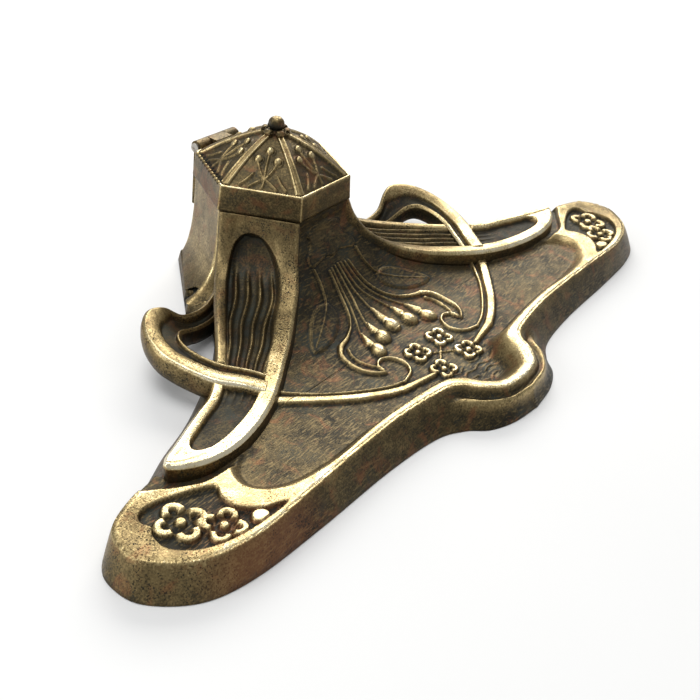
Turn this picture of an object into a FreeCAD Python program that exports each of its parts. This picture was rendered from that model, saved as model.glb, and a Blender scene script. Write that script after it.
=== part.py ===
import FreeCAD, Part
import math
import os

# Desk inkstand of cast brass: a two-armed pen tray with a hexagonal inkwell at the back.
# Millimetres. +X to the writer's right, -Y towards the writer, +Z up.
# The origin is the middle of the overall box, on the desk.

V = FreeCAD.Vector

# ---- overall sizes
WIDTH = 258.0
DEPTH = 129.4
RIM_Z = 8.5             # height of the tray's rim
HOUSING_Z = 31.0        # height of the inkwell housing's mouth

# ---- inkwell housing and liner
HOUSING_R = 24.3        # hexagon, centre to corner, at the mouth
FOOT_FLARE = 4.7        # how far the housing's rear corners spread at the foot
FOOT_TAIL = 13.0        # how far its left and right corners sweep out at the foot
WELL_WALL = 3.45        # thinnest wall round the bore that the glass liner drops into
LINER_CLEARANCE = 0.5   # radial, liner in the bore
LINER_WALL = 2.4
LINER_FLOOR = 3.0
LINER_LIP_DROP = 0.6    # the liner's mouth below the housing's mouth
LINER_SHOULDER = 3.2    # how far the liner narrows to its mouth
PAD_THICKNESS = 1.0
PAD_INSET = 1.0         # pad smaller than the liner
WELL_FLOOR_Z = 3.5      # top of the tray where the housing stands
ARCH_HALF_WIDTH = 2.6   # arched recess low on each rear side, close to the side corner
ARCH_HEIGHT = 4.2
ARCH_DEPTH = 3.0
ARCH_FROM_CORNER = 5.4  # its middle to the housing's side corner, along the foot

# ---- lid
LID_GAP = 0.4           # open line under the lid's band
LID_BAND_HEIGHT = 7.9
LID_OVERHANG = 0.2      # top of the band past the housing's mouth, at a corner
LID_SPREAD = 0.7        # how far the band spreads towards its lower edge
LID_WALL = 2.0
DOME_RISE = 10.6        # from the band to the flat under the finial
DOME_INSET = 1.0        # step from the band to the foot of the dome
DOME_FLAT = 0.985       # share of the rise where the dome ends in a flat
RIB_WIDTH = 2.2
RIB_PROUD = 0.7
BUD_R = 1.15

# ---- finial
FINIAL_HEIGHT = 4.8     # above the flat on top of the dome
FINIAL_NECK_R = 2.0
FINIAL_KNOB_R = 2.4
FINIAL_SHANK_R = 1.2
CURL_R = 1.3
CURL_COUNT = 6

# ---- hinge
KNUCKLE_R = 2.1
PIN_R = 0.9
PIN_CLEARANCE = 0.05    # radial, lid knuckle on the pin
HINGE_LENGTH = 18.0
HINGE_SIDE_GAP = 0.3    # along the pin, between knuckles
KNUCKLE_ROOM = 0.6      # under the lid's knuckle
LID_KNUCKLE_SHARE = 0.4
HINGE_LID_GAP = 0.5     # knuckles to the lid's back face
HINGE_DROP = 0.7        # pin below the top of the lid's band
PLATE_THICKNESS = 1.3
PLATE_DROP = 12.0       # how far the hinge plate reaches down the housing
PLATE_SETBACK = 0.35    # front of the plate's free part ahead of the pin
PLATE_LID_GAP = 0.3     # plate to the foot of the lid's band
PLATE_NECK = 1.5        # how far the plate's upper part laps down on its lower part
PIN_HEAD = 0.8
RIVET_R = 1.0
RIVET_HEAD_R = 1.7
RIVET_HEAD = 0.6
RIVET_DEPTH = 1.6       # into the housing's wall
RIVET_OFFSET = 5.4      # from the plate's middle
RIVET_DROP = 5.4        # below the housing's mouth

# ---- tray, leaves and straps
RIM_INSET = 1.5         # slope of the tray's side round the housing's foot
FLOOR_WALL = 1.9        # metal under the tray's floor
UNDERSIDE_LIP = 5.5     # width of the rim that the tray stands on
SHOULDER_Z = 6.0        # top of the tray where a leaf lies on it
FIELD_TUCK = 1.5        # how far field and apron run in under a leaf's edge
RELIEF = 0.8            # height of the ring band on the floor
POCKET_DEPTH = 1.4
BLOSSOM_RELIEF = 1.0
LEAF_BAND = 3.3
LEAF_CHANNEL = 1.4
CHANNEL_SLOPE = 0.6     # run of a channel's sloping side
STRAP_BAND = 5.2
STRAP_CHANNEL = 1.1
STRAP_LIP = 1.3
STRAP_HEIGHT = 7.2
STRAP_UNDERCUT = 1.6    # inner side of a strap shorter than its outer side

# ---- screws from below that hold the housing on the tray
SCREW_R = 1.5
SCREW_HEAD_R = 2.8
SCREW_HEAD = 1.3
SCREW_LENGTH = 9.0
SCREW_SLOT = 0.6
SCREW_WALL = 1.9        # metal between the bore and a screw

# ---- places worked out from the sizes above
HALF = WIDTH / 2
FRONT_Y = -DEPTH / 2
COS30 = math.cos(math.radians(30))
WELL_R = HOUSING_R * COS30 - WELL_WALL
SCREW_RING_R = WELL_R + SCREW_WALL + SCREW_R
LINER_R = WELL_R - LINER_CLEARANCE
LID_R = HOUSING_R + LID_OVERHANG
HINGE_Y = DEPTH / 2 - KNUCKLE_R
WELL_Y = HINGE_Y - KNUCKLE_R - HINGE_LID_GAP - LID_R * COS30
LID_Z = HOUSING_Z + LID_GAP
BAND_TOP_Z = LID_Z + LID_BAND_HEIGHT
DOME_TOP_Z = BAND_TOP_Z + DOME_RISE * DOME_FLAT
LID_TOP_Z = DOME_TOP_Z + FINIAL_HEIGHT
HINGE_Z = BAND_TOP_Z - HINGE_DROP
PLATE_REAR_Y = HINGE_Y - PLATE_SETBACK + PLATE_THICKNESS
FOOT_R = HOUSING_R + FOOT_FLARE
FOOT_SIDE = HOUSING_R + FOOT_TAIL
MOUTH_FRONT_Y = WELL_Y - HOUSING_R * COS30

# The flowing shapes are drawn for these base sizes and follow the sizes above.
BASE_HALF, BASE_FRONT, BASE_R = 129.0, -64.7, 24.3
BASE_MOUTH_Y, BASE_WELL_Y = 17.74, 38.78
BASE_RIM, BASE_MOUTH_Z = 8.5, 31.0


def between(value, low, high, new_low, new_high):
    """Carry a value from one span to another."""
    return new_low + (value - low) * (new_high - new_low) / (high - low)


def place(x, y, z=0.0):
    """Put a drawn point where the current sizes want it."""
    if x <= BASE_R:
        new_x = x * HOUSING_R / BASE_R
    else:
        new_x = between(x, BASE_R, BASE_HALF, HOUSING_R, HALF)
    if y <= BASE_MOUTH_Y:
        new_y = between(y, BASE_FRONT, BASE_MOUTH_Y, FRONT_Y, MOUTH_FRONT_Y)
    else:
        new_y = between(y, BASE_MOUTH_Y, BASE_WELL_Y, MOUTH_FRONT_Y, WELL_Y)
    if z <= BASE_RIM:
        new_z = z * RIM_Z / BASE_RIM
    else:
        new_z = between(z, BASE_RIM, BASE_MOUTH_Z, RIM_Z, HOUSING_Z)
    return V(new_x, new_y, new_z)


def at_height(points, z):
    return [V(p.x, p.y, z) for p in points]


def spline(points):
    curve = Part.BSplineCurve()
    curve.interpolate(points)
    return curve.toShape()


def bow(points):
    """Spline through points on the right and their mirror images on the left."""
    left = [V(-p.x, p.y, p.z) for p in points[:0:-1]]
    return spline(left + points)


def line(a, b):
    return Part.LineSegment(a, b).toShape()


def closed_wire(edges):
    return Part.Wire(Part.__sortEdges__(edges))


def mirrored(shape):
    return shape.mirror(V(0, 0, 0), V(1, 0, 0))


def biggest(shape):
    """The main solid that a cut leaves."""
    return max(shape.Solids, key=lambda solid: solid.Volume)


def prism(wire, low, high):
    face = Part.Face(wire)
    lift = V(0, 0, low - wire.BoundBox.ZMin)
    return face.translated(lift).extrude(V(0, 0, high - low))


def hexagon(radius, z, side=None):
    """Hexagon round the well; its left and right corners lie at side, where that is given."""
    corners = []
    for step in range(7):
        turn = math.radians(60 * step)
        reach = side if side and step % 3 == 0 else radius
        corners.append(V(reach * math.cos(turn), WELL_Y + reach * math.sin(turn), z))
    return Part.makePolygon(corners)


def rod(radius, height, base, direction=V(0, 0, 1)):
    return Part.makeCylinder(radius, height, base, direction)


# ---- the tray

RIM_LINE = [
    (0, -58.4), (8.8, -57.0), (14.2, -52.2), (18, -46.8), (25, -44.3), (47, -42.2), (78, -42.8),
    (99.9, -43.4), (114.5, -39.6), (122.6, -32), (124.6, -26.5), (121.8, -18.6), (112, -14.6),
    (100.5, -12.9), (87.4, -7.4), (77, -3.6), (69, 0.2), (60, 5.4), (50.5, 11.4), (42, 18),
    (36.5, 25), (35, 32),
]
BASE_LINE = [
    (0, -64.2), (11, -62.8), (19.5, -59.5), (25, -54.6), (34, -50.6), (54, -48.6), (83, -48.1),
    (105, -46.9), (118.4, -43), (127, -34.6), (128.8, -27), (126, -19.6), (115, -12.5),
    (103, -8.8), (90.6, -3.4), (79.7, 0.4), (71.5, 4), (62, 9), (52, 15), (43.5, 21.5),
    (38.5, 27.5), (37, 33),
]


def outline(points, z, inset):
    """Closed outline: a mirrored spline round the front, straight lines round the foot."""
    right = at_height([place(*p) for p in points], z)
    side = V(FOOT_SIDE - inset, WELL_Y, z)
    rear = V((FOOT_R - inset) / 2, WELL_Y + (FOOT_R - inset) * COS30, z)
    edges = [bow(right)]
    for a, b in ((right[-1], side), (side, rear)):
        edges.append(line(a, b))
        edges.append(mirrored(edges[-1]))
    edges.append(line(V(-rear.x, rear.y, z), rear))
    return closed_wire(edges)


FLOOR_LINE = [(0, 2.3), (25, 2.4), (45, 3.3), (65, 4.7), (85, 5.7), (100, 6.0)]


def floor_region(rise, top):
    """Everything over the tray's floor line, raised by rise, up to top."""
    right = []
    for x, z in FLOOR_LINE:
        spot = place(x, 0, z)
        right.append(V(spot.x, FRONT_Y * 2, spot.z + rise))
    end = right[-1]
    far = V(HALF * 1.2, end.y, end.z)
    high = V(far.x, far.y, top)
    edges = [bow(right)]
    for a, b in ((end, far), (far, high)):
        edges.append(line(a, b))
        edges.append(mirrored(edges[-1]))
    edges.append(line(V(-high.x, high.y, top), high))
    return Part.Face(closed_wire(edges)).extrude(V(0, DEPTH * 2, 0))


FIELD_LINE = [
    (0, -55.0), (6.5, -54.0), (10.8, -50.2), (14.2, -44.8), (22, -41.3), (46, -39.4), (66, -40.2),
    (80.2, -39.0), (87.5, -35.4), (90.4, -30.4), (88.6, -24.6), (84, -19.5),
]
LEAF_FRONT = [
    (12.15, 17.74, 31.0), (14.0, 16.0, 26.0), (16.5, 13.8, 22.0), (19, 11.2, 19.0), (23, 7.8, 15.9),
    (29.1, 3.9, 12.7), (37.1, -1.4, 10.3), (44.6, -5.6, 8.9), (53, -10.5, 8.1), (62, -15, 7.9),
    (72, -18.4, 8.3), (82, -20.4, 9.1), (91, -20.2, 10), (97.5, -17.8, 10.5), (101, -15.0, 10.7),
]
LEAF_BACK = [
    (24.3, 38.78, 31.0), (24.8, 38.4, 26.0), (25.8, 37.6, 21.0), (28, 36, 16.0), (32.5, 32.3, 13.0),
    (40, 25.5, 11.2), (48, 18, 10.4), (56, 10.5, 10), (64, 3.7, 9.8), (72.5, -2.1, 9.8),
    (80, -4.7, 9.9), (87.4, -7.4, 10), (93.5, -9.8, 10.2), (98, -11.4, 10.4), (100.6, -13.2, 10.5),
]


def field_prism(low, high):
    """The sunk field of the tray, in front of the leaves."""
    right = [place(*p) for p in FIELD_LINE]
    for x, y, z in reversed(LEAF_FRONT[3:-4]):
        right.append(place(x, y + FIELD_TUCK, 0))
    right = at_height(right, 0)
    back = V(0, right[-1].y + FIELD_TUCK, 0)
    edges = [bow(right), line(right[-1], back), mirrored(line(right[-1], back))]
    return prism(closed_wire(edges), low, high)


def behind_leaf(low, high):
    """Everything behind the right leaf's front edge, back past the housing, as a block."""
    front = at_height([place(*p) for p in LEAF_FRONT], 0)
    reach = DEPTH
    back = [V(front[-1].x, reach, 0), V(0, reach, 0), V(0, front[0].y, 0), front[0]]
    edges = [spline(front), line(front[-1], back[0])]
    edges += [line(a, b) for a, b in zip(back, back[1:])]
    return prism(closed_wire(edges), low, high)


POCKET_LINE = [
    (95.3, -25.3), (98.5, -23.2), (104, -20.7), (110, -18.9), (115.1, -19.6), (116.2, -22.6),
    (116.0, -24.6), (117.7, -28.6), (116.8, -32.7), (113.1, -36.7), (107, -39.6), (98, -41.4),
    (88, -41.4), (93.3, -37.8), (96.4, -34.5), (97.3, -31.5), (96.8, -28),
]
BLOSSOMS_POCKET = [(109, -27.5), (103.4, -35.3)]
POCKET_DOT = (95.9, -39.5)
BLOSSOMS_FLOOR = [(6.6, -25.1), (7.9, -34.9)]


def blossom(x, y, z, spread):
    """Four petals round a button."""
    spot = place(x, y)
    petals = rod(spread * 0.42, BLOSSOM_RELIEF, V(spot.x, spot.y, z))
    for step in range(4):
        turn = math.radians(45 + 90 * step)
        centre = V(spot.x + spread * math.cos(turn), spot.y + spread * math.sin(turn), z)
        petals = petals.fuse(rod(spread * 0.8, BLOSSOM_RELIEF * 0.8, centre))
    return petals


RING_OUTER = [(20, -34.8), (27, -33.5), (35, -31), (40, -28), (46, -23.0), (51, -17.5), (56.5, -11)]
RING_INNER = [(21, -32.0), (26, -31.3), (32, -29.0), (37, -26.0), (42, -21.6), (46.6, -16.2), (51, -10.4)]


def ring_band():
    """Raised band that carries a strap's line across the floor."""
    outer = at_height([place(*p) for p in RING_OUTER], 0)
    inner = at_height([place(*p) for p in RING_INNER], 0)
    edges = [spline(outer), spline(inner), line(outer[0], inner[0]), line(outer[-1], inner[-1])]
    block = prism(closed_wire(edges), 0.5, RIM_Z * 2)
    block = block.common(floor_region(-FLOOR_WALL / 2, RIM_Z * 4))
    return block.cut(floor_region(RELIEF, RIM_Z * 4))


def pocket_prism():
    points = at_height([place(*p) for p in POCKET_LINE], 0)
    curve = Part.BSplineCurve()
    curve.interpolate(Points=points, PeriodicFlag=True)
    return prism(Part.Wire(curve.toShape()), RIM_Z - POCKET_DEPTH, RIM_Z * 2)


def underside():
    """Hollow under the tray, inside the lip that it stands on."""
    inset = [(x - UNDERSIDE_LIP if x > 30 else x, y) for x, y in BASE_LINE[:-5]]
    right = []
    for x, y in inset[:9]:
        right.append(place(x, y + UNDERSIDE_LIP))
    right.append(place(BASE_HALF - UNDERSIDE_LIP, -27))
    for x, y in inset[12:]:
        right.append(place(x - 2, y - UNDERSIDE_LIP))
    right = at_height(right, 0)
    middle = V(0, right[-1].y + 2, 0)
    edges = [bow(right), line(right[-1], middle), mirrored(line(right[-1], middle))]
    block = prism(closed_wire(edges), -1, RIM_Z)
    return block.cut(floor_region(-FLOOR_WALL, RIM_Z * 4))


def screw_spots():
    spots = {}
    for row, sign_y in (("front", -1), ("rear", 1)):
        for side, sign_x in (("left", -1), ("right", 1)):
            x = sign_x * SCREW_RING_R / 2
            y = WELL_Y + sign_y * SCREW_RING_R * COS30
            spots["housing_screw_" + row + "_" + side] = V(x, y, 0)
    return spots


def housing_screw(spot):
    seat = WELL_FLOOR_Z - FLOOR_WALL
    head = rod(SCREW_HEAD_R, SCREW_HEAD, V(spot.x, spot.y, seat - SCREW_HEAD))
    slot = Part.makeBox(SCREW_HEAD_R * 2, SCREW_SLOT, SCREW_HEAD / 2)
    slot.translate(V(spot.x - SCREW_HEAD_R, spot.y - SCREW_SLOT / 2, seat - SCREW_HEAD))
    return head.fuse(rod(SCREW_R, SCREW_LENGTH, V(spot.x, spot.y, seat))).cut(slot)


def screw_hole(spot):
    """Room for a screw: a counterbore for its head and a hole for its shank."""
    seat = WELL_FLOOR_Z - FLOOR_WALL
    counterbore = rod(SCREW_HEAD_R + 0.3, seat + 1, V(spot.x, spot.y, -1))
    return counterbore.fuse(rod(SCREW_R, SCREW_LENGTH, V(spot.x, spot.y, seat)))


def make_tray():
    body = Part.makeLoft([outline(BASE_LINE, 0, 0), outline(RIM_LINE, RIM_Z, RIM_INSET)], True)
    body = body.cut(prism(hexagon(FOOT_R * 1.1, 0, FOOT_SIDE * 1.03), WELL_FLOOR_Z, RIM_Z * 2))
    shoulder = behind_leaf(SHOULDER_Z, RIM_Z * 2)
    body = body.cut(shoulder).cut(mirrored(shoulder))
    body = body.cut(field_prism(0.5, RIM_Z * 2).common(floor_region(0, RIM_Z * 3)))
    body = body.cut(underside())
    ring = ring_band()
    pocket = pocket_prism()
    relief = [ring, mirrored(ring)]
    body = body.cut(pocket).cut(mirrored(pocket))
    for x, y in BLOSSOMS_POCKET:
        flower = blossom(x, y, RIM_Z - POCKET_DEPTH, 2.1)
        relief += [flower, mirrored(flower)]
    dot = place(*POCKET_DOT)
    button = rod(1.5, BLOSSOM_RELIEF, V(dot.x, dot.y, RIM_Z - POCKET_DEPTH))
    relief += [button, mirrored(button)]
    for x, y in BLOSSOMS_FLOOR:
        flower = blossom(x, y, FLOOR_LINE[0][1] * RIM_Z / BASE_RIM, 2.3)
        relief += [flower, mirrored(flower)]
    body = body.fuse(relief)
    for spot in screw_spots().values():
        body = body.cut(screw_hole(spot))
    recess = arch_recess()
    return biggest(body.cut(recess).cut(mirrored(recess)).removeSplitter())


# ---- inkwell housing, apron, leaves and straps

def housing_block():
    """Outer form of the housing, from its swept foot to its mouth, with no bore."""
    flare = [(0.0, 0.72, 1.0), (0.08, 0.54, 0.62), (0.16, 0.40, 0.38), (0.27, 0.27, 0.20),
             (0.38, 0.17, 0.11), (0.62, 0.05, 0.03), (1.0, 0.0, 0.0)]
    rings = []
    for share, spread, sweep in flare:
        z = WELL_FLOOR_Z + share * (HOUSING_Z - WELL_FLOOR_Z)
        rings.append(hexagon(HOUSING_R + spread * FOOT_FLARE, z, HOUSING_R + sweep * FOOT_TAIL))
    return Part.makeLoft(rings, True, True)


def arch_recess():
    """Arched recess through the foot of the right rear side, beside the side corner."""
    corner = V(FOOT_SIDE, WELL_Y, WELL_FLOOR_Z - ARCH_HEIGHT / 2)
    rear = V(FOOT_R / 2, WELL_Y + FOOT_R * COS30, corner.z)
    along = (rear - corner).normalize()
    outward = V(along.y, -along.x, 0)
    if outward.x < 0:
        outward = -outward
    middle = corner + along * ARCH_FROM_CORNER - outward * ARCH_DEPTH
    foot_a = middle + along * ARCH_HALF_WIDTH
    foot_b = middle - along * ARCH_HALF_WIDTH
    crown = middle + V(0, 0, ARCH_HEIGHT)
    arc = Part.Arc(foot_a, crown, foot_b).toShape()
    base = Part.LineSegment(foot_b, foot_a).toShape()
    return Part.Face(Part.Wire([arc, base])).extrude(outward * (FOOT_FLARE + ARCH_DEPTH * 2))


def make_housing(block):
    body = block.cut(rod(WELL_R, HOUSING_Z, V(0, WELL_Y, WELL_FLOOR_Z)))
    recess = arch_recess()
    body = body.cut(recess).cut(mirrored(recess))
    for spot in screw_spots().values():
        body = body.cut(screw_hole(spot))
    for rivet in rivet_spots().values():
        body = body.cut(rivet_shank(rivet))
    return biggest(body)


def leaf_section(front, back, share):
    """Cross-section of a leaf: two raised bands with a channel between them."""
    width = (back - front).Length
    across = (back - front).normalize()
    outward = V(0.866, -0.5, 0)
    down = (V(0, 0, -1) * share - outward * (1 - share)).normalize()
    band = min(LEAF_BAND, width * 0.3)
    depth = LEAF_CHANNEL * min(1.0, share * 2.5) * min(1.0, width / 6.0)
    proud = outward * (1 - share) * 0.9
    thick = 2.0 + 4.0 * share
    a = front + proud
    f = back + proud
    b = a + across * band
    e = f - across * band
    slope = min(CHANNEL_SLOPE, width * 0.1)
    points = [a, b, b + across * slope + down * depth, e - across * slope + down * depth, e, f]
    if share > 0:
        low = [f + down * thick, a + down * thick]
    else:
        low = [f - outward * thick, a - outward * thick]
    points += low
    return Part.makePolygon(points + [points[0]])


def leaf_blank():
    """Uncut right leaf, from the housing's mouth to its tip on the arm."""
    sections = []
    last = len(LEAF_FRONT) - 1
    for step in range(last + 1):
        share = min(1.0, step / 5.0)
        front = place(*LEAF_FRONT[step])
        back = place(*LEAF_BACK[step])
        sections.append(leaf_section(front, back, share))
    return Part.makeLoft(sections, True, True)


APRON_PROFILE = [(17.74, 26.8), (16.4, 23.0), (11.9, 17.2), (3.5, 9.6), (-6, 5.0), (-14.6, 3.1)]


def apron_blank():
    """Concave apron in front of the housing, as wide as the tray's field."""
    points = [place(0, y, z) for y, z in APRON_PROFILE]
    toe = V(0, points[-1].y, 1.0)
    back = V(0, WELL_Y, 1.0)
    top = V(0, WELL_Y, points[0].z)
    edges = [spline(points), line(points[-1], toe), line(toe, back), line(back, top), line(top, points[0])]
    half = HALF * 0.5
    face = Part.Face(closed_wire(edges))
    slab = face.translated(V(-half, 0, 0)).extrude(V(half * 2, 0, 0))
    front = at_height([place(x + FIELD_TUCK, y + FIELD_TUCK) for x, y, z in LEAF_FRONT[:9]], 0)
    corner = V(front[-1].x, points[-1].y - 5, 0)
    side = [spline(front), line(front[-1], corner)]
    fan = side + [mirrored(edge) for edge in side]
    fan.append(line(corner, V(-corner.x, corner.y, 0)))
    fan.append(line(front[0], V(-front[0].x, front[0].y, 0)))
    return slab.common(prism(closed_wire(fan), 0, HOUSING_Z))


STRAP_OUTER = [
    (59.5, -10.8, 8.6), (63.2, -4.9, 9.0), (67.1, 0.5, 9.6), (69.9, 7.3, 10.9), (71.4, 14.8, 12.6),
    (70.8, 20.3, 14.0), (68.6, 25.3, 15.2), (65.0, 29.2, 15.9), (60.5, 31.2, 16.0), (55.8, 30.7, 14.6),
    (50.4, 29.2, 10.4), (43.0, 29.6, 8.5), (36.0, 31.0, 8.8), (27.5, 35.6, 12.5),
]
STRAP_INNER = [
    (52.3, -6.0, 8.6), (55.8, -0.2, 9.0), (59.3, 5.0, 9.6), (61.2, 9.6, 10.4), (61.8, 13.4, 11.3),
    (61.6, 16.2, 11.7), (60.9, 18.3, 11.9), (59.6, 19.8, 11.8), (57.4, 21.2, 11.0), (53.2, 22.4, 9.2),
    (48.4, 22.7, 8.0), (41.6, 23.6, 7.4), (34.5, 26.6, 7.2), (26.5, 32.0, 8.6),
]


def strap_blank():
    """Uncut right strap: a channelled ribbon from a leaf round to the housing's corner."""
    sections = []
    for outer, inner in zip(STRAP_OUTER, STRAP_INNER):
        a = place(*outer)
        d = place(*inner)
        width = (d - a).Length
        across = (d - a).normalize()
        channel = V(0, 0, -STRAP_CHANNEL)
        b = a + across * min(STRAP_BAND, width * 0.55)
        c = d - across * min(STRAP_LIP, width * 0.2)
        slope = min(CHANNEL_SLOPE, width * 0.05)
        points = [a, b, b + across * slope + channel, c - across * slope + channel, c, d]
        points += [d - V(0, 0, STRAP_HEIGHT - STRAP_UNDERCUT), a - V(0, 0, STRAP_HEIGHT)]
        sections.append(Part.makePolygon(points + [points[0]]))
    return Part.makeLoft(sections, True, True)


def liner_height():
    return HOUSING_Z - LINER_LIP_DROP - WELL_FLOOR_Z - PAD_THICKNESS


def make_glass_liner():
    """Round glass pot with a shoulder that narrows to its mouth."""
    radius = LINER_R
    base = V(0, WELL_Y, WELL_FLOOR_Z + PAD_THICKNESS)
    height = liner_height()
    shoulder = LINER_WALL + 1.5
    inside = rod(radius - LINER_WALL, height - LINER_FLOOR - shoulder, base + V(0, 0, LINER_FLOOR))
    mouth = rod(radius - LINER_WALL - LINER_SHOULDER, shoulder + 2, base + V(0, 0, height - shoulder - 1))
    body = rod(radius, height, base)
    return body.makeFillet(1.0, [body.Edges[0]]).cut(inside.fuse(mouth))


def make_liner_pad():
    return rod(LINER_R - PAD_INSET, PAD_THICKNESS, V(0, WELL_Y, WELL_FLOOR_Z))


# ---- hinge

def rivet_spots():
    """Where the rivets meet the housing's back face."""
    y = WELL_Y + HOUSING_R * COS30
    z = HOUSING_Z - RIVET_DROP
    return {"hinge_rivet_left": V(-RIVET_OFFSET, y, z), "hinge_rivet_right": V(RIVET_OFFSET, y, z)}


def rivet_shank(spot):
    """From the plate's rear through it into the housing's wall."""
    rear = V(spot.x, PLATE_REAR_Y, spot.z)
    return rod(RIVET_R, PLATE_REAR_Y - spot.y + RIVET_DEPTH, rear, V(0, -1, 0))


def knuckle(start, length, radius=KNUCKLE_R):
    return rod(radius, length, V(start, HINGE_Y, HINGE_Z), V(1, 0, 0))


def hinge_box(x_low, x_high, y_low, y_high, z_low, z_high):
    box = Part.makeBox(x_high - x_low, y_high - y_low, z_high - z_low)
    return box.translated(V(x_low, y_low, z_low))


def make_hinge_plate(block):
    """Fixed half of the hinge: a plate on the housing's back with two knuckles on top."""
    half = HINGE_LENGTH / 2
    lid_half = lid_knuckle_half()
    low_z = HOUSING_Z - PLATE_DROP
    clear_y = WELL_Y + (LID_R + LID_SPREAD) * COS30 + PLATE_LID_GAP
    plate = hinge_box(-half, half, WELL_Y, PLATE_REAR_Y, low_z, HOUSING_Z - PLATE_LID_GAP)
    plate = plate.fuse(hinge_box(-half, half, clear_y, PLATE_REAR_Y, HOUSING_Z - PLATE_NECK, HINGE_Z))
    plate = plate.fuse(knuckle(-half, HINGE_LENGTH)).cut(block)
    gap = hinge_box(
        -lid_half - HINGE_SIDE_GAP, lid_half + HINGE_SIDE_GAP, WELL_Y, HINGE_Y + KNUCKLE_R * 2,
        HINGE_Z - KNUCKLE_R - KNUCKLE_ROOM, HINGE_Z + KNUCKLE_R * 2,
    )
    plate = plate.cut(gap).cut(knuckle(-half, HINGE_LENGTH, PIN_R))
    for rivet in rivet_spots().values():
        plate = plate.cut(rivet_shank(rivet))
    return biggest(plate)


def make_hinge_rivet(spot):
    head = rod(RIVET_HEAD_R, RIVET_HEAD, V(spot.x, PLATE_REAR_Y, spot.z), V(0, 1, 0))
    return rivet_shank(spot).fuse(head)


def make_hinge_pin():
    """Pin through all the knuckles, with a small head at each end."""
    half = HINGE_LENGTH / 2
    pin = rod(PIN_R, HINGE_LENGTH, V(-half, HINGE_Y, HINGE_Z), V(1, 0, 0))
    head_r = (PIN_R + KNUCKLE_R) / 2
    for start in (-half - PIN_HEAD, half):
        pin = pin.fuse(knuckle(start, PIN_HEAD, head_r))
    return pin


def lid_knuckle_half():
    return HINGE_LENGTH * LID_KNUCKLE_SHARE / 2


def make_lid_knuckle(lid):
    """Moving half of the hinge: a tongue on the lid's back that carries one knuckle."""
    half = lid_knuckle_half()
    lid_back = WELL_Y + LID_R * COS30
    tongue = hinge_box(-half, half, lid_back - 1.0, HINGE_Y, HINGE_Z - 0.2, HINGE_Z + KNUCKLE_R)
    body = knuckle(-half, half * 2).fuse(tongue).cut(lid)
    return biggest(body.cut(knuckle(-half, half * 2, PIN_R + PIN_CLEARANCE)))


# ---- lid

DOME_LINE = [(1.0, 0.0), (0.80, 0.30), (0.58, 0.58), (0.34, 0.82), (0.13, DOME_FLAT)]


def dome_points(inset):
    """Radius and height of the dome's hip from its foot to its flat top."""
    foot = LID_R - DOME_INSET - inset
    return [(foot * r, BAND_TOP_Z + DOME_RISE * h - inset) for r, h in DOME_LINE]


def lid_solid(inset, floor_z):
    """Band and dome as one solid, moved inwards by inset."""
    rings = [hexagon(LID_R + LID_SPREAD - inset / COS30, floor_z)]
    rings.append(hexagon(LID_R - inset / COS30, BAND_TOP_Z - inset))
    band = Part.makeLoft(rings, True)
    dome = Part.makeLoft([hexagon(r, z) for r, z in dome_points(inset)], True, True)
    return band.fuse(dome)


def rib(turn):
    """Flat bar along one hip of the dome."""
    upper = []
    lower = []
    for r, z in dome_points(0):
        upper.append(V(r, 0, z + RIB_PROUD))
        lower.append(V(r, 0, z - 0.6))
    first = V(LID_R - 0.3, 0, BAND_TOP_Z - 0.1)
    path = Part.makePolygon([first] + upper + lower[::-1] + [first])
    bar = Part.Face(path).extrude(V(0, RIB_WIDTH, 0))
    bar.translate(V(0, -RIB_WIDTH / 2, 0))
    bar.rotate(V(0, 0, 0), V(0, 0, 1), turn)
    return bar.translated(V(0, WELL_Y, 0))


def panel_buds(turn):
    """Three round buds on one panel of the dome, one high and two low."""
    buds = []
    foot = (LID_R - DOME_INSET) * COS30
    for share, rise, side in ((0.44, 0.70, 0.0), (0.60, 0.545, -2.9), (0.60, 0.545, 2.9)):
        angle = math.radians(turn)
        r = foot * share
        x = r * math.cos(angle) - side * math.sin(angle)
        y = WELL_Y + r * math.sin(angle) + side * math.cos(angle)
        buds.append(Part.makeSphere(BUD_R, V(x, y, BAND_TOP_Z + DOME_RISE * rise)))
    return buds


def make_lid():
    body = lid_solid(0, LID_Z)
    for step in range(6):
        body = body.fuse([rib(60 * step)] + panel_buds(60 * step + 30))
    body = body.cut(lid_solid(LID_WALL, LID_Z - 1))
    body = body.cut(rod(FINIAL_SHANK_R, LID_TOP_Z, V(0, WELL_Y, BAND_TOP_Z)))
    return biggest(body)


def make_finial():
    """Knob with a curl at the head of each rib, on a shank through the lid."""
    seat_z = DOME_TOP_Z
    neck_z = LID_TOP_Z - FINIAL_KNOB_R
    body = rod(FINIAL_NECK_R, neck_z - seat_z, V(0, WELL_Y, seat_z))
    body = body.fuse(Part.makeSphere(FINIAL_KNOB_R, V(0, WELL_Y, neck_z)))
    shank_z = seat_z - LID_WALL - 1.2
    body = body.fuse(rod(FINIAL_SHANK_R, seat_z - shank_z + 0.5, V(0, WELL_Y, shank_z)))
    for step in range(CURL_COUNT):
        turn = math.radians(360 / CURL_COUNT * step)
        side = V(-math.sin(turn), math.cos(turn), 0)
        reach = FINIAL_NECK_R + CURL_R * 0.8
        spot = V(reach * math.cos(turn), WELL_Y + reach * math.sin(turn), seat_z + CURL_R * 0.9)
        body = body.fuse(rod(CURL_R, RIB_WIDTH, spot - side * (RIB_WIDTH / 2), side))
    return body.removeSplitter()


# ---- all the pieces

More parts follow.
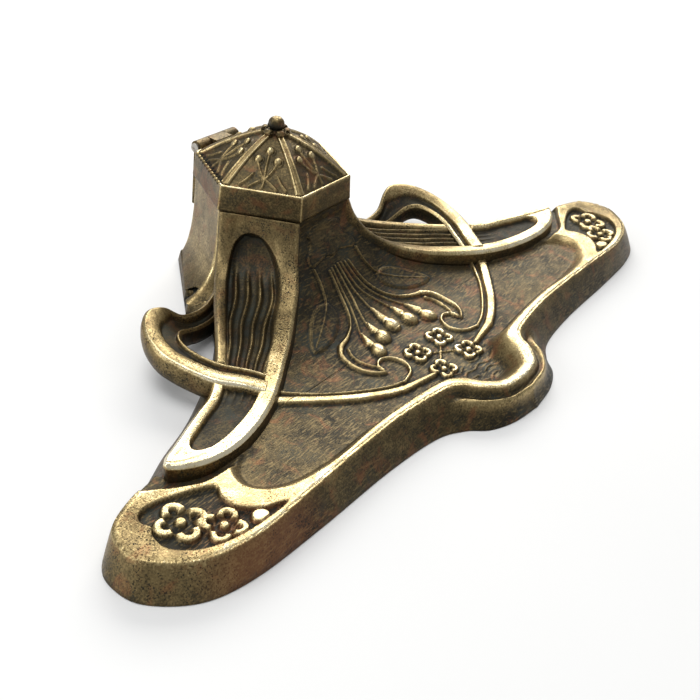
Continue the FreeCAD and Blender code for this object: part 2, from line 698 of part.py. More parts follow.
def build():
    parts = {}
    parts["tray"] = make_tray()
    block = housing_block()
    parts["well_housing"] = make_housing(block)
    leaf = biggest(leaf_blank().cut(block).cut(parts["tray"]))
    strap = strap_blank().cut(block).cut(parts["tray"])
    strap = biggest(strap.cut(leaf))
    apron = apron_blank().cut(block).cut(parts["tray"])
    apron = biggest(apron.cut(leaf).cut(mirrored(leaf)))
    parts["front_apron"] = apron
    parts["leaf_right"] = leaf
    parts["leaf_left"] = mirrored(leaf)
    parts["strap_right"] = strap
    parts["strap_left"] = mirrored(strap)
    for name, spot in screw_spots().items():
        parts[name] = housing_screw(spot)
    parts["liner_pad"] = make_liner_pad()
    parts["glass_liner"] = make_glass_liner()
    parts["hinge_plate"] = make_hinge_plate(block)
    for name, spot in rivet_spots().items():
        parts[name] = make_hinge_rivet(spot)
    parts["hinge_pin"] = make_hinge_pin()
    finial = make_finial()
    lid = make_lid().cut(finial)
    parts["lid"] = biggest(lid)
    parts["lid_finial"] = finial
    parts["lid_knuckle"] = make_lid_knuckle(parts["lid"])
    return parts


def main():
    os.makedirs("parts", exist_ok=True)
    for name, shape in build().items():
        shape.exportStep("parts/" + name + ".step")
        print(name, shape.isValid(), len(shape.Solids), round(shape.Volume, 1))


main()
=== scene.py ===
import math

import bpy
import numpy as np
from mathutils import Matrix, Vector


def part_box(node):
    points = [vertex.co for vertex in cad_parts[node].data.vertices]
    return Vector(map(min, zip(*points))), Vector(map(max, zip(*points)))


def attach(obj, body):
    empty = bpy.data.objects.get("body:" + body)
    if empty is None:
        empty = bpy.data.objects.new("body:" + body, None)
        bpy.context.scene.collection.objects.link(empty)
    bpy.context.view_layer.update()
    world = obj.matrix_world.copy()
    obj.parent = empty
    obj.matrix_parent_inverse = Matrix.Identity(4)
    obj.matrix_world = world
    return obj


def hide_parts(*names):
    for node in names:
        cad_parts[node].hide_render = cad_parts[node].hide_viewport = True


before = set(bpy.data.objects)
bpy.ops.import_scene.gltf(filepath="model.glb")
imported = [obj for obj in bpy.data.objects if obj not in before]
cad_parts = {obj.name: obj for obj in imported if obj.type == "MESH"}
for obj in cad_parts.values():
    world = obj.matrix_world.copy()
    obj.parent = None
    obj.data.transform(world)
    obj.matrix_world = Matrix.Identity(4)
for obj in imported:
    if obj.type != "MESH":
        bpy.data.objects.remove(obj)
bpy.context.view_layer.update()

# Shapes are worked out in millimetres and written in metres.
MM = 0.001


def node_box(name):
    """Lowest and highest corner of a CAD node, in millimetres."""
    low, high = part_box(name)
    return np.array(low) / MM, np.array(high) / MM


TRAY_LOW, TRAY_HIGH = node_box("tray")
HOUSING_LOW, HOUSING_HIGH = node_box("well_housing")
LID_LOW = node_box("lid")[0]
LINER_LOW, LINER_HIGH = node_box("glass_liner")
APRON_LOW = node_box("front_apron")[0]
FINIAL_HIGH = node_box("lid_finial")[1]

HALF = TRAY_HIGH[0]
RIM_Z = TRAY_HIGH[2]
WELL_Y = (LINER_LOW[1] + LINER_HIGH[1]) / 2
MOUTH_Z = HOUSING_HIGH[2]
WELL_FLOOR_Z = HOUSING_LOW[2]
COS30 = math.cos(math.radians(30))
HOUSING_R = 24.3
FOOT_FLARE = 4.7
FOOT_TAIL = 13.0
ARCH_HALF_WIDTH = 2.6
ARCH_HEIGHT = 4.2
ARCH_FROM_CORNER = 5.4
TOE_Y = APRON_LOW[1]
SHOULDER_Z = 6.0


# ---- curves and distances

def curve(a, b, c, d, t):
    """Smooth curve from b to c, with a and d as the neighbours on either side."""
    return 0.5 * (2 * b + (c - a) * t + (2 * a - 5 * b + 4 * c - d) * t ** 2
                  + (3 * b - a - 3 * c + d) * t ** 3)


def smooth(points, spacing=0.8, closed=False):
    """Points along a smooth curve through the given ones."""
    p = np.array(points, float)
    if closed:
        p = np.vstack([p[-1:], p, p[:2]])
    else:
        p = np.vstack([2 * p[0] - p[1], p, 2 * p[-1] - p[-2]])
    out = []
    for i in range(1, len(p) - 2):
        a, b, c, d = p[i - 1:i + 3]
        count = max(2, int(np.linalg.norm(c - b) / spacing) + 1)
        t = np.linspace(0, 1, count, endpoint=False)[:, None]
        out.append(curve(a, b, c, d, t))
    if not closed:
        out.append(p[-2:-1])
    return np.vstack(out)


def along(points, count):
    """Evenly spaced points by index through a smooth curve, so that paired curves keep step."""
    p = np.array(points, float)
    ext = np.vstack([2 * p[0] - p[1], p, 2 * p[-1] - p[-2]])
    s = np.linspace(0, len(p) - 1, count)
    i = np.minimum(s.astype(int), len(p) - 2)
    t = (s - i)[:, None]
    return curve(ext[i], ext[i + 1], ext[i + 2], ext[i + 3], t)


def bell(x, width):
    """1 where x is 0, falling off to either side."""
    return np.exp(-(x / width) ** 2)


def step(x):
    """0 below 0, 1 above 1, and a smooth rise between."""
    x = np.clip(x, 0, 1)
    return x * x * (3 - 2 * x)


def line_distance(x, y, line):
    """Distance from each point to a polyline, and how far along it the nearest place is, 0 to 1."""
    best = np.full(x.shape, 1e9)
    where = np.zeros(x.shape)
    lengths = np.linalg.norm(np.diff(line, axis=0), axis=1)
    total = lengths.sum()
    done = 0.0
    for (ax, ay), (bx, by), length in zip(line[:-1], line[1:], lengths):
        dx, dy = bx - ax, by - ay
        t = np.clip(((x - ax) * dx + (y - ay) * dy) / max(length ** 2, 1e-9), 0, 1)
        d = np.hypot(x - ax - t * dx, y - ay - t * dy)
        near = d < best
        best = np.where(near, d, best)
        where = np.where(near, (done + t * length) / total, where)
        done += length
    return best, where


def inside(x, y, loop):
    """True where a point lies in a closed outline."""
    hit = np.zeros(x.shape, bool)
    for (ax, ay), (bx, by) in zip(loop, np.roll(loop, -1, axis=0)):
        if ay == by:
            continue
        cross = ((ay > y) != (by > y)) & (x < (bx - ax) * (y - ay) / (by - ay) + ax)
        hit ^= cross
    return hit


def signed(x, y, loop):
    """Distance to a closed outline, positive inside."""
    d, _ = line_distance(x, y, np.vstack([loop, loop[:1]]))
    return np.where(inside(x, y, loop), d, -d)


def both_sides(points):
    """A right-hand outline and its mirror image, as one closed outline."""
    right = smooth(points)
    left = right[::-1] * [-1, 1]
    return np.vstack([right, left[:-1] if abs(left[-1][0]) < 1e-6 else left])


# ---- outlines in plan

BASE_LINE = [
    (0, -64.2), (11, -62.8), (19.5, -59.5), (25, -54.6), (34, -50.6), (54, -48.6), (83, -48.1),
    (105, -46.9), (118.4, -43), (127, -34.6), (128.8, -27), (126, -19.6), (115, -12.5),
    (103, -8.8), (90.6, -3.4), (79.7, 0.4), (71.5, 4), (62, 9), (52, 15), (43.5, 21.5),
    (38.5, 27.5), (37, 33), (37.3, 38.8), (37.3, 38.8), (14.5, 63.7), (14.5, 63.7), (0, 63.7),
]
RIM_LINE = [
    (0, -58.4), (8.8, -57), (14.2, -52.2), (18, -46.8), (25, -44.3), (47, -42.2), (78, -42.8),
    (99.9, -43.4), (114.5, -39.6), (122.6, -32), (124.6, -26.5), (121.8, -18.6), (112, -14.6),
    (100.5, -12.9), (87.4, -7.4), (77, -3.6), (69, 0.2), (60, 5.4), (50.5, 11.4), (42, 18),
    (36.5, 25), (35, 32), (35.8, 38.8), (35.8, 38.8), (13.8, 62.3), (13.8, 62.3), (0, 62.3),
]
FIELD_LINE = [
    (0, -55), (6.5, -54), (10.8, -50.2), (14.2, -44.8), (22, -41.3), (46, -39.4), (66, -40),
    (79, -38.6), (86.5, -35.4), (90, -30.6), (89.4, -26), (85.5, -21.5), (78, -18),
    (62, -13), (44, -3.5), (29, 5.5), (19, 12.5), (0, 16),
]
LEAF_FRONT = [
    (12.15, 17.74, 31), (14, 16, 26), (16.5, 13.8, 22), (19, 11.2, 19), (23, 7.8, 15.9),
    (29.1, 3.9, 12.7), (37.1, -1.4, 10.3), (44.6, -5.6, 8.9), (53, -10.5, 8.1), (62, -15, 7.9),
    (72, -18.4, 8.3), (82, -20.4, 9.1), (91, -20.2, 10), (97.5, -17.8, 10.5), (101, -15, 10.7),
]
LEAF_BACK = [
    (24.3, 38.78, 31), (24.8, 38.4, 26), (25.8, 37.6, 21), (28, 36, 16), (32.5, 32.3, 13),
    (40, 25.5, 11.2), (48, 18, 10.4), (56, 10.5, 10), (64, 3.7, 9.8), (72.5, -2.1, 9.8),
    (80, -4.7, 9.9), (87.4, -7.4, 10), (93.5, -9.8, 10.2), (98, -11.4, 10.4), (100.6, -13.2, 10.5),
]
GROOVE_LINE = [
    (76, -22.5), (84, -23), (90, -23.2), (96, -22.4), (101, -19.6), (105, -17), (109, -13.5),
    (104, -8), (96, -12), (84, -16), (76, -16),
]
POCKET_LINE = [
    (95.3, -25.3), (98.5, -23.2), (104, -20.7), (110, -18.9), (114.4, -19.3), (115.9, -21.6),
    (115.2, -24), (116.9, -26), (117.7, -29.6), (116.8, -32.7), (113.1, -36.7), (107, -39.6),
    (98, -41.2), (88, -41.2), (93.3, -38), (96.4, -34.5), (97.3, -31.5), (96.8, -28),
]
FLOOR_X = [0, 25, 45, 65, 85, 100, 130]
FLOOR_Z = [2.3, 2.4, 3.3, 4.7, 5.7, 6.0, 6.0]
APRON_PROFILE = [
    (17.70, 31), (17.55, 26.8), (16.3, 23), (11.9, 17.2), (3.5, 9.6), (-6, 5), (-14.6, 3.1),
    (-21, 2.6), (-28, 2.2), (-40, 1),
]

PROFILE = smooth(APRON_PROFILE, 0.2)
_rise = np.concatenate([[0], np.cumsum(np.linalg.norm(np.diff(PROFILE, axis=0), axis=1))])
_toe = np.interp(-TOE_Y, -PROFILE[:, 0], _rise)
PROFILE_V = TOE_Y + _toe - _rise


def v_of_y(y):
    """Distance measured up the apron's slope; the same as y on the tray's floor."""
    y = np.asarray(y, float)
    up = np.interp(-y, -PROFILE[:, 0], PROFILE_V)
    return np.where(y < TOE_Y, y, up)


def floor_height(x):
    """Height of the tray's floor, which rises along the arms."""
    return np.interp(np.abs(x), FLOOR_X, FLOOR_Z)


def ground(x, y):
    """Apron and floor as one smooth surface."""
    slope = np.interp(-y, -PROFILE[:, 0], PROFILE[:, 1])
    low = floor_height(x)
    soft = 0.5
    return 0.5 * (slope + low + np.sqrt((slope - low) ** 2 + soft ** 2)) - 0.2


# ---- relief on apron and floor

def on_slope(points):
    """Right-hand points given by x and y, carried to the slope's own measure."""
    return smooth([(x, float(v_of_y(y))) for x, y in points], 0.5)


class Relief:
    """Raised or sunk work on a surface: height in millimetres, and how worn it is with painted shade round
    the foot of raised work, 0 to 1.
    """

    def __init__(self, x, v, wear_and_shading):
        self.x = np.abs(x)
        self.v = v
        self.height = np.zeros(x.shape)
        self.wear_and_shading = np.full(x.shape, float(wear_and_shading))

    def near(self, line, reach):
        low, high = line.min(0) - reach, line.max(0) + reach
        return np.where((self.x > low[0]) & (self.x < high[0]) & (self.v > low[1]) & (self.v < high[1]))

    def put(self, spot, height, share, wear_and_shading):
        """Raise to height where share is 1, and blend what is raised towards the given wear."""
        self.height[spot] = np.maximum(self.height[spot], height * share)
        self.wear_and_shading[spot] = self.wear_and_shading[spot] * (1 - share) + wear_and_shading * share

    def shade(self, spot, distance, width):
        # painted shade: a dark ring round the foot of raised work
        rim = bell(distance - width, 0.55) * (distance > width)
        self.wear_and_shading[spot] -= 0.16 * rim

    def stroke(self, points, width, height, wear_and_shading=0.9, tip=None, edge=0.3):
        """Raised line whose width runs from width to tip."""
        line = on_slope(points)
        spot = self.near(line, 3.5)
        d, t = line_distance(self.x[spot], self.v[spot], line)
        half = 0.5 * (width + ((tip if tip is not None else width) - width) * t)
        share = step((half + edge - d) / (2 * edge))
        crown = 0.75 + 0.25 * np.sqrt(np.clip(1 - (d / (half + edge)) ** 2, 0, 1))
        self.shade(spot, d, half + edge)
        self.put(spot, height, share * crown, wear_and_shading)

    def disc(self, x, y, radius, height, wear_and_shading=0.9, stretch=1.0, turn=0.0, dome=True):
        cx, cv = x, float(v_of_y(y))
        for sign in (1, -1):
            spot = np.where(np.hypot(self.x - sign * cx, self.v - cv) < radius * stretch + 2)
            dx, dy = self.x[spot] - sign * cx, self.v[spot] - cv
            c, s = math.cos(turn * sign), math.sin(turn * sign)
            r = np.hypot((dx * c + dy * s) / stretch, -dx * s + dy * c) / radius
            share = step((1.12 - r) / 0.2)
            form = np.sqrt(np.clip(1 - (r * 0.92) ** 2, 0, 1)) if dome else np.ones(r.shape)
            self.shade(spot, r * radius, radius * 1.1)
            self.put(spot, height, share * form, wear_and_shading)
            if cx < 1e-6:
                break

    def shape(self, points, height, wear_and_shading, edge=0.5):
        """Closed raised patch."""
        loop = smooth([(x, float(v_of_y(y))) for x, y in points], 0.5, closed=True)
        spot = self.near(loop, 2)
        d = signed(self.x[spot], self.v[spot], loop)
        self.put(spot, height, step((d + edge * 0.5) / edge), wear_and_shading)
        return loop

    def flower(self, x, y, size, height, turn=45.0, wear_and_shading=0.92, rim=0.42):
        """Four petals, each a crescent round a hollow, and a round button."""
        cv = float(v_of_y(y))
        for sign in ((1, -1) if x < size else (1,)):
            spot = np.where(np.hypot(self.x - sign * x, self.v - cv) < size * 1.4)
            dx, dy = self.x[spot] - sign * x, self.v[spot] - cv
            best = np.zeros(dx.shape)
            for k in range(4):
                a = math.radians(turn * sign + 90 * k)
                ux, uy = math.cos(a), math.sin(a)
                px, py = dx - ux * size * 0.53, dy - uy * size * 0.53
                r = np.hypot(px, py) / (size * 0.47)
                out = (px * ux + py * uy) / (size * 0.47)
                band = step((1.0 - r) / 0.16) * step((r - (1 - rim * 1.5)) / 0.16)
                best = np.maximum(best, band * step((out + 0.45) / 0.4))
            r0 = np.hypot(dx, dy) / size
            best = np.maximum(best, step((0.24 - r0) / 0.08))
            # darker between and round the petals: patina in the hollows, and painted shade round the foot of
            # the petals
            self.wear_and_shading[spot] -= 0.2 * step((1.15 - r0) / 0.3) * (1 - best)
            self.put(spot, height, best, wear_and_shading)


STEM_MIDDLE = [(0, 10.4), (0, 6.0), (0, 1.0), (0, -4.0), (0, -9.5)]
STEM_SECOND = [(1.6, 10.2), (1.9, 5.9), (2.7, 1.6), (4.8, -2.8), (6.8, -7.2), (7.3, -10.6)]
STEM_THIRD = [(3.3, 10.0), (4.3, 5.2), (5.7, 0.6), (8.6, -4.2), (12.2, -9.0), (13.6, -13.4)]
S_LINE = [
    (4.9, 9.9), (5.9, 5.4), (7.6, 1), (10, -2.8), (13.6, -5.8), (18, -7.8), (22.2, -8.8),
    (25.2, -11.2), (26.3, -15.2), (26, -19.6), (24.2, -22.8), (21.4, -25),
]
S_INNER = [(21.2, -10.8), (22.8, -13.8), (22.8, -17.6), (21.6, -20.8), (20.2, -22.8)]
RING_BAND = [(56.6, -11.4), (52.2, -15.4), (46.8, -19.8), (38.8, -25.8), (31.0, -30.4), (24.6, -33.2)]
RING_TAIL = [(24.6, -33.2), (18, -34.4), (11.6, -35.6)]
RING_THIN = [
    (52.6, -10), (48.4, -14.4), (43, -19.4), (35.2, -24.8), (27.6, -29), (20.8, -31.2),
    (15.6, -29.6), (13.2, -25.8), (14.4, -21.9), (17.6, -20.2), (20.6, -21.4), (21.2, -24),
]
COLLAR = [
    (0, 17.4), (7.8, 17.4), (7.6, 16.6), (8.4, 15.6), (10.9, 14.3), (11.6, 13.2), (10.6, 12.2),
    (7.5, 12.5), (4, 13), (0, 12.2),
]
LEAFLET = [
    (13.2, 3.4), (18, 3.9), (24.4, 1), (29.6, -3.2), (31.2, -6), (27, -6.6), (20, -5),
    (15, -2), (12.8, 1),
]
LEAFLET_STEM = [(10.9, 11.6), (11.4, 8.0), (13.4, 4.2), (17.5, 1.2), (23, -1.8), (29.5, -5.0)]
LEAFLET_VEINS = [
    [(17, 1.4), (19.4, 3.2)], [(21, -0.8), (24.2, 0.4)], [(25, -2.8), (28.0, -2.2)],
    [(16.4, 1.6), (16.0, -1.8)], [(20.4, -0.6), (20.6, -4.0)], [(24.6, -2.6), (25.2, -5.6)],
]
WAVES = [
    [(2, -39.4), (5, -40.4), (8.5, -39.4), (12.5, -40.6)],
    [(0, -42.6), (3.5, -41.8), (7, -43.2), (11, -42.2)],
    [(1.5, -45.2), (4.6, -44.6), (7.8, -46.2)], [(0, -48.4), (3.2, -47.4), (6.4, -48.8)],
    [(13, -38.0), (16.4, -37.2), (19.8, -38.4)],
]
BUDS = [(0.0, -12.4, 0.0), (7.3, -14.0, 0.25), (13.9, -17.0, 0.45)]
ROSETTES = [(6.1, -26.0), (7.2, -36.0)]


def ornament(x, v):
    """All the cast ornament of the apron and the floor in front of it."""
    work = Relief(x, v, 0.27)
    work.shape([(-3, 17.6)] + COLLAR[1:-1] + [(-3, 12.6)], 0.55, 0.33, 0.9)
    work.stroke(COLLAR[4:7] + COLLAR[7:9], 0.25, 0.62, 0.6)
    work.shape(LEAFLET, 0.45, 0.34, 1.2)
    work.stroke(LEAFLET[:5], 0.4, 0.66, 0.60, edge=0.45)
    work.stroke(LEAFLET[4:] + LEAFLET[:1], 0.2, 0.55, 0.45, edge=0.5)
    work.stroke(LEAFLET_STEM, 0.5, 0.85, 0.66, tip=0.25)
    for vein in LEAFLET_VEINS:
        work.stroke(vein, 0.15, 0.6, 0.48, edge=0.35)
    work.stroke(STEM_MIDDLE, 0.35, 0.6, 0.75, tip=0.5)
    work.stroke(STEM_SECOND, 0.3, 0.6, 0.75, tip=0.5)
    work.stroke(STEM_THIRD, 0.3, 0.6, 0.75, tip=0.5)
    for stem in (STEM_MIDDLE, STEM_SECOND, STEM_THIRD):
        work.stroke(stem[-2:], 0.3, 1.0, 0.85, tip=2.9)
    work.stroke(S_LINE[:6], 0.4, 0.8, 0.72, tip=0.9)
    work.stroke(S_LINE[4:7], 0.8, 1.0, 0.78, tip=1.7)
    work.stroke(S_LINE[6:], 1.7, 1.0, 0.82, tip=0.7)
    work.stroke(S_INNER, 0.6, 0.85, 0.8)
    work.stroke(RING_THIN[:6], 0.9, 0.9, 0.8, tip=0.7)
    work.stroke(RING_THIN[5:], 0.9, 1.0, 0.88, tip=0.8)
    work.stroke(RING_BAND, 3.3, 1.2, 0.84, tip=2.6, edge=0.4)
    work.stroke(RING_TAIL, 2.5, 1.1, 0.78, tip=1.5, edge=0.4)
    work.stroke([(5.4, -27.0), (0, -30.5)], 0.4, 0.6, 0.8)
    work.stroke([(6.6, -34.6), (0, -30.5)], 0.4, 0.6, 0.8)
    for x0, y0, turn in BUDS:
        work.disc(x0, y0, 2.35, 1.8, 0.95, stretch=1.28, turn=math.pi / 2 + turn)
    for x0, y0 in ROSETTES:
        work.flower(x0, y0, 4.7, 1.1, turn=38.0, rim=0.5)
    for wave in WAVES:
        work.stroke(wave, 0.4, 0.4, 0.5, tip=0.2)
    return work


# ---- meshes

def add_piece(name, verts, faces, wear_and_shading, material, body="base", replaces=(), sharp=None):
    """One mesh piece from arrays of vertices in millimetres and quads or triangles."""
    mesh = bpy.data.meshes.new(name)
    mesh.from_pydata((np.asarray(verts) * MM).tolist(), [], [list(map(int, f)) for f in faces])
    mesh.validate()
    for polygon in mesh.polygons:
        polygon.use_smooth = True
    # per-point value read by the brass shader: wear together with painted shade and painted reflection
    attribute = mesh.attributes.new("wear_and_shading", "FLOAT", "POINT")
    attribute.data.foreach_set("value", np.asarray(wear_and_shading, np.float32))
    mesh.materials.append(material)
    piece = bpy.data.objects.new(name, mesh)
    bpy.context.scene.collection.objects.link(piece)
    if sharp is not None:
        mesh.set_sharp_from_angle(angle=math.radians(sharp))
    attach(piece, body)
    if replaces:
        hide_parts(*replaces)
    return piece


def grid_faces(rows, columns, wrap=False, offset=0):
    """Quads of a grid of vertices stored row by row."""
    r, c = np.meshgrid(np.arange(rows - 1), np.arange(columns if wrap else columns - 1), indexing="ij")
    n = (c + 1) % columns
    quads = np.stack([r * columns + c, r * columns + n, (r + 1) * columns + n, (r + 1) * columns + c], -1)
    return quads.reshape(-1, 4) + offset


def mirror_piece(verts, faces):
    """The same piece on the other side, its faces still outwards."""
    return np.asarray(verts) * [-1, 1, 1], [list(f)[::-1] for f in faces]


def spread(stops):
    """Grid lines from stretches of (start, end, spacing)."""
    out = [np.arange(a, b, s) for a, b, s in stops]
    out.append([stops[-1][1]])
    return np.concatenate(out)


def hex_tips(radius, side=None):
    """Corners of a hexagon, the first again at the end; side is how far its left and right ones reach."""
    reach = [side if side and k % 3 == 0 else radius for k in range(7)]
    return np.array([[r * math.cos(math.radians(60 * k)), r * math.sin(math.radians(60 * k))]
                     for k, r in enumerate(reach)])


def arch_share(x, y, z, soft=0.16):
    """1 inside the arched recess through the foot's rear sides, 0 outside."""
    corner = np.array([HOUSING_R + FOOT_TAIL, WELL_Y])
    rear = np.array([(HOUSING_R + FOOT_FLARE) / 2, WELL_Y + (HOUSING_R + FOOT_FLARE) * COS30])
    run = (rear - corner) / np.linalg.norm(rear - corner)
    out = np.array([-run[1], run[0]])
    out = out if out[0] > 0 else -out
    dx, dy = np.abs(x) - corner[0], y - corner[1]
    side = (dx * run[0] + dy * run[1] - ARCH_FROM_CORNER) / ARCH_HALF_WIDTH
    rise = (z - (WELL_FLOOR_Z - ARCH_HEIGHT / 2)) / ARCH_HEIGHT
    near = step((dx * out[0] + dy * out[1] + 5.0) / 1.0)
    return step((1.0 + soft / 2 - np.hypot(side, np.maximum(rise, 0))) / soft) * near


def tray_surface(x, y):
    """Height of the tray's top and its wear with painted shade, anywhere inside its base outline."""
    ax = np.abs(x)
    base = both_sides(BASE_LINE)
    rim = both_sides(RIM_LINE)
    field = both_sides(FIELD_LINE)
    d_base = np.maximum(signed(x, y, base), 0)
    d_rim = signed(x, y, rim)
    d_field = signed(x, y, field)
    leaf_y = np.interp(ax, [p[0] for p in LEAF_FRONT], [p[1] for p in LEAF_FRONT])
    behind = step((y - leaf_y + 1.0) / 1.0) * step((101.5 - ax) / 1.0)
    top = RIM_Z + (SHOULDER_Z - RIM_Z) * behind
    # outer wall, a little bellied
    share = d_base / np.maximum(d_base - np.minimum(d_rim, 0), 1e-6)
    wall = np.where(d_rim < 0, 1 - (1 - share) ** 1.25, 1.0)
    z = top * wall
    wear_and_shading = np.where(d_rim < 0, 0.30 + 0.10 * share + 0.34 * share ** 8, 0.80)
    # lobe: a second ridge part way up its outer wall, with a valley above it
    lobe = step((28 - ax) / 9) * step((-45 - y) / 5) * (d_rim < 0)
    ridge = bell(share - 0.50, 0.13) * lobe
    valley = bell(share - 0.78, 0.12) * lobe
    z = z + 1.5 * ridge - 1.3 * valley
    # the last term is painted shade: the lower part of the lobe's outer wall is darkened
    wear_and_shading = wear_and_shading + 0.38 * ridge - 0.22 * valley - 0.10 * lobe * step((0.4 - share) / 0.2)
    # rim: a crest along its outer edge, then a band that leans in towards the field
    crest = bell(d_rim - 0.7, 0.6) * (1 - behind)
    lean = step((d_rim - 0.8) / 5.0) * (1 - behind)
    z = z - (0.25 * step((0.9 - d_rim) / 0.9) + 0.55 * lean) * (d_rim >= 0) * (1 - behind)
    tip = step((ax - 106) / 12)
    wear_and_shading = wear_and_shading + 0.14 * crest + np.where(d_rim >= 0, -0.24, 0.14) * tip
    # field
    low = ground(x, y)
    lobe_field = step((24 - ax) / 10) * step((-30 - y) / 10)
    slope_width = 4.2 + 3.0 * lobe_field
    sink = step((d_field + 1.1) / slope_width)
    work = ornament(x, v_of_y(y))
    drop = step((y - TOE_Y) / 0.3) * 0.7
    floor_z = low + work.height * step((d_field - 1.5) / 2.0) - drop
    z = z * (1 - sink) + floor_z * sink
    floor_wear_and_shading = work.wear_and_shading + 0.12 * step((ax - 34) / 26) * step((6.5 - d_field) / 6.0)
    floor_wear_and_shading = floor_wear_and_shading + 0.03 * step((ax - 30) / 30)
    wear_and_shading = np.where(sink > 0, wear_and_shading * (1 - sink ** 0.8) + floor_wear_and_shading * sink ** 0.8, wear_and_shading)
    # dark groove between a leaf's tip and the pocket's frame
    groove = signed(ax, y, smooth(GROOVE_LINE, closed=True))
    cut = step((groove + 0.3) / 1.2) * (d_rim > -2)
    z = z * (1 - cut) + np.minimum(z, 6.3) * cut
    wear_and_shading = wear_and_shading * (1 - cut) + 0.24 * cut
    # pocket with its flowers
    pocket = signed(ax, y, smooth(POCKET_LINE, closed=True))
    deep = step((pocket + 0.15) / 0.5)
    z = z - 1.35 * deep
    wear_and_shading = wear_and_shading * (1 - deep) + 0.14 * deep
    flowers = Relief(x, y, 0.0)
    flowers.flower(109.4, -27.4, 6.9, 1.25, turn=20.0, wear_and_shading=0.95, rim=0.52)
    flowers.flower(103.4, -35.2, 6.0, 1.25, turn=62.0, wear_and_shading=0.95, rim=0.52)
    flowers.disc(95.6, -39.3, 2.0, 1.3, 0.97, stretch=1.15, dome=False)
    raised = flowers.height / 1.3 * step((pocket - 0.1) / 0.4)
    z = z + flowers.height * step((pocket - 0.1) / 0.4)
    wear_and_shading = wear_and_shading * (1 - raised) + 0.86 * raised
    # foot of the housing, and the arches under it
    footprint = hex_tips(HOUSING_R + FOOT_FLARE, HOUSING_R + FOOT_TAIL)[:6] + [0, WELL_Y]
    foot = step((signed(x, y, footprint) + 1.6) / 1.2)
    z = np.where(y > 12, z * (1 - foot) + np.minimum(z, WELL_FLOOR_Z) * foot, z)
    arch = arch_share(x, y, np.full(x.shape, WELL_FLOOR_Z), soft=0.1)
    z = z * (1 - arch) + np.minimum(z, 1.2) * arch
    wear_and_shading = wear_and_shading * (1 - arch)
    return np.where(d_base <= 0, 0.0, z), np.clip(wear_and_shading, 0, 1)


LIP_WIDTH = 4.5


def make_tray(material):
    """The tray as one closed skin: a fine top, and an underside inside a standing lip."""
    fine = 0.32
    xs = spread([(0, 58, fine), (58, 86, 0.6), (86, 119, fine), (119, HALF + 0.5, 0.45)])
    xs = np.concatenate([-xs[:0:-1], xs])
    ys = spread([(TRAY_LOW[1] - 0.4, -45, 0.5), (-45, -8, fine), (-8, 66, 0.65)])
    x, y = np.meshgrid(xs, ys)
    base = both_sides(BASE_LINE)
    d = signed(x.ravel(), y.ravel(), base).reshape(x.shape)
    quad_in = (d[:-1, :-1] > -0.2) & (d[1:, :-1] > -0.2) & (d[:-1, 1:] > -0.2) & (d[1:, 1:] > -0.2)
    quads = grid_faces(*x.shape)[quad_in.ravel()]
    used, inverse = np.unique(quads, return_inverse=True)
    quads = inverse.reshape(quads.shape)
    px, py = x.ravel()[used], y.ravel()[used]
    # vertices of the rough border move onto the outline itself
    edges = np.sort(np.concatenate([quads[:, [k, (k + 1) % 4]] for k in range(4)]), 1)
    pairs, counts = np.unique(edges, axis=0, return_counts=True)
    border_edges = pairs[counts == 1]
    border = np.unique(border_edges)
    loop = np.vstack([base, base[:1]])
    for i in border:
        a, b = loop[:-1], loop[1:]
        ab = b - a
        reach = (px[i] - a[:, 0]) * ab[:, 0] + (py[i] - a[:, 1]) * ab[:, 1]
        t = np.clip(reach / (ab ** 2).sum(1).clip(1e-9), 0, 1)
        c = a + ab * t[:, None]
        k = np.argmin((c[:, 0] - px[i]) ** 2 + (c[:, 1] - py[i]) ** 2)
        px[i], py[i] = c[k]
    z, wear_and_shading = tray_surface(px, py)
    z[border] = 0.0
    count = len(px)
    # underside: the same plan, hollowed inside the standing lip
    depth = signed(px, py, base)
    hollow = step((depth - LIP_WIDTH) / 2.0) * np.clip(floor_height(px) - 1.9, 0.35, 4.0)
    hollow *= step((34 - py) / 4)
    hollow[border] = 0.0
    verts = np.vstack([np.column_stack([px, py, z]), np.column_stack([px, py, hollow])])
    under = quads[:, ::-1] + count
    # the underside shares the top's border
    remap = np.arange(2 * count)
    remap[border + count] = border
    faces = np.vstack([quads, remap[under]])
    all_wear_and_shading = np.concatenate([wear_and_shading, np.full(count, 0.25)])
    keep, inverse = np.unique(faces, return_inverse=True)
    return add_piece("tray_casting", verts[keep], inverse.reshape(faces.shape), all_wear_and_shading[keep], material,
                     replaces=["tray"])


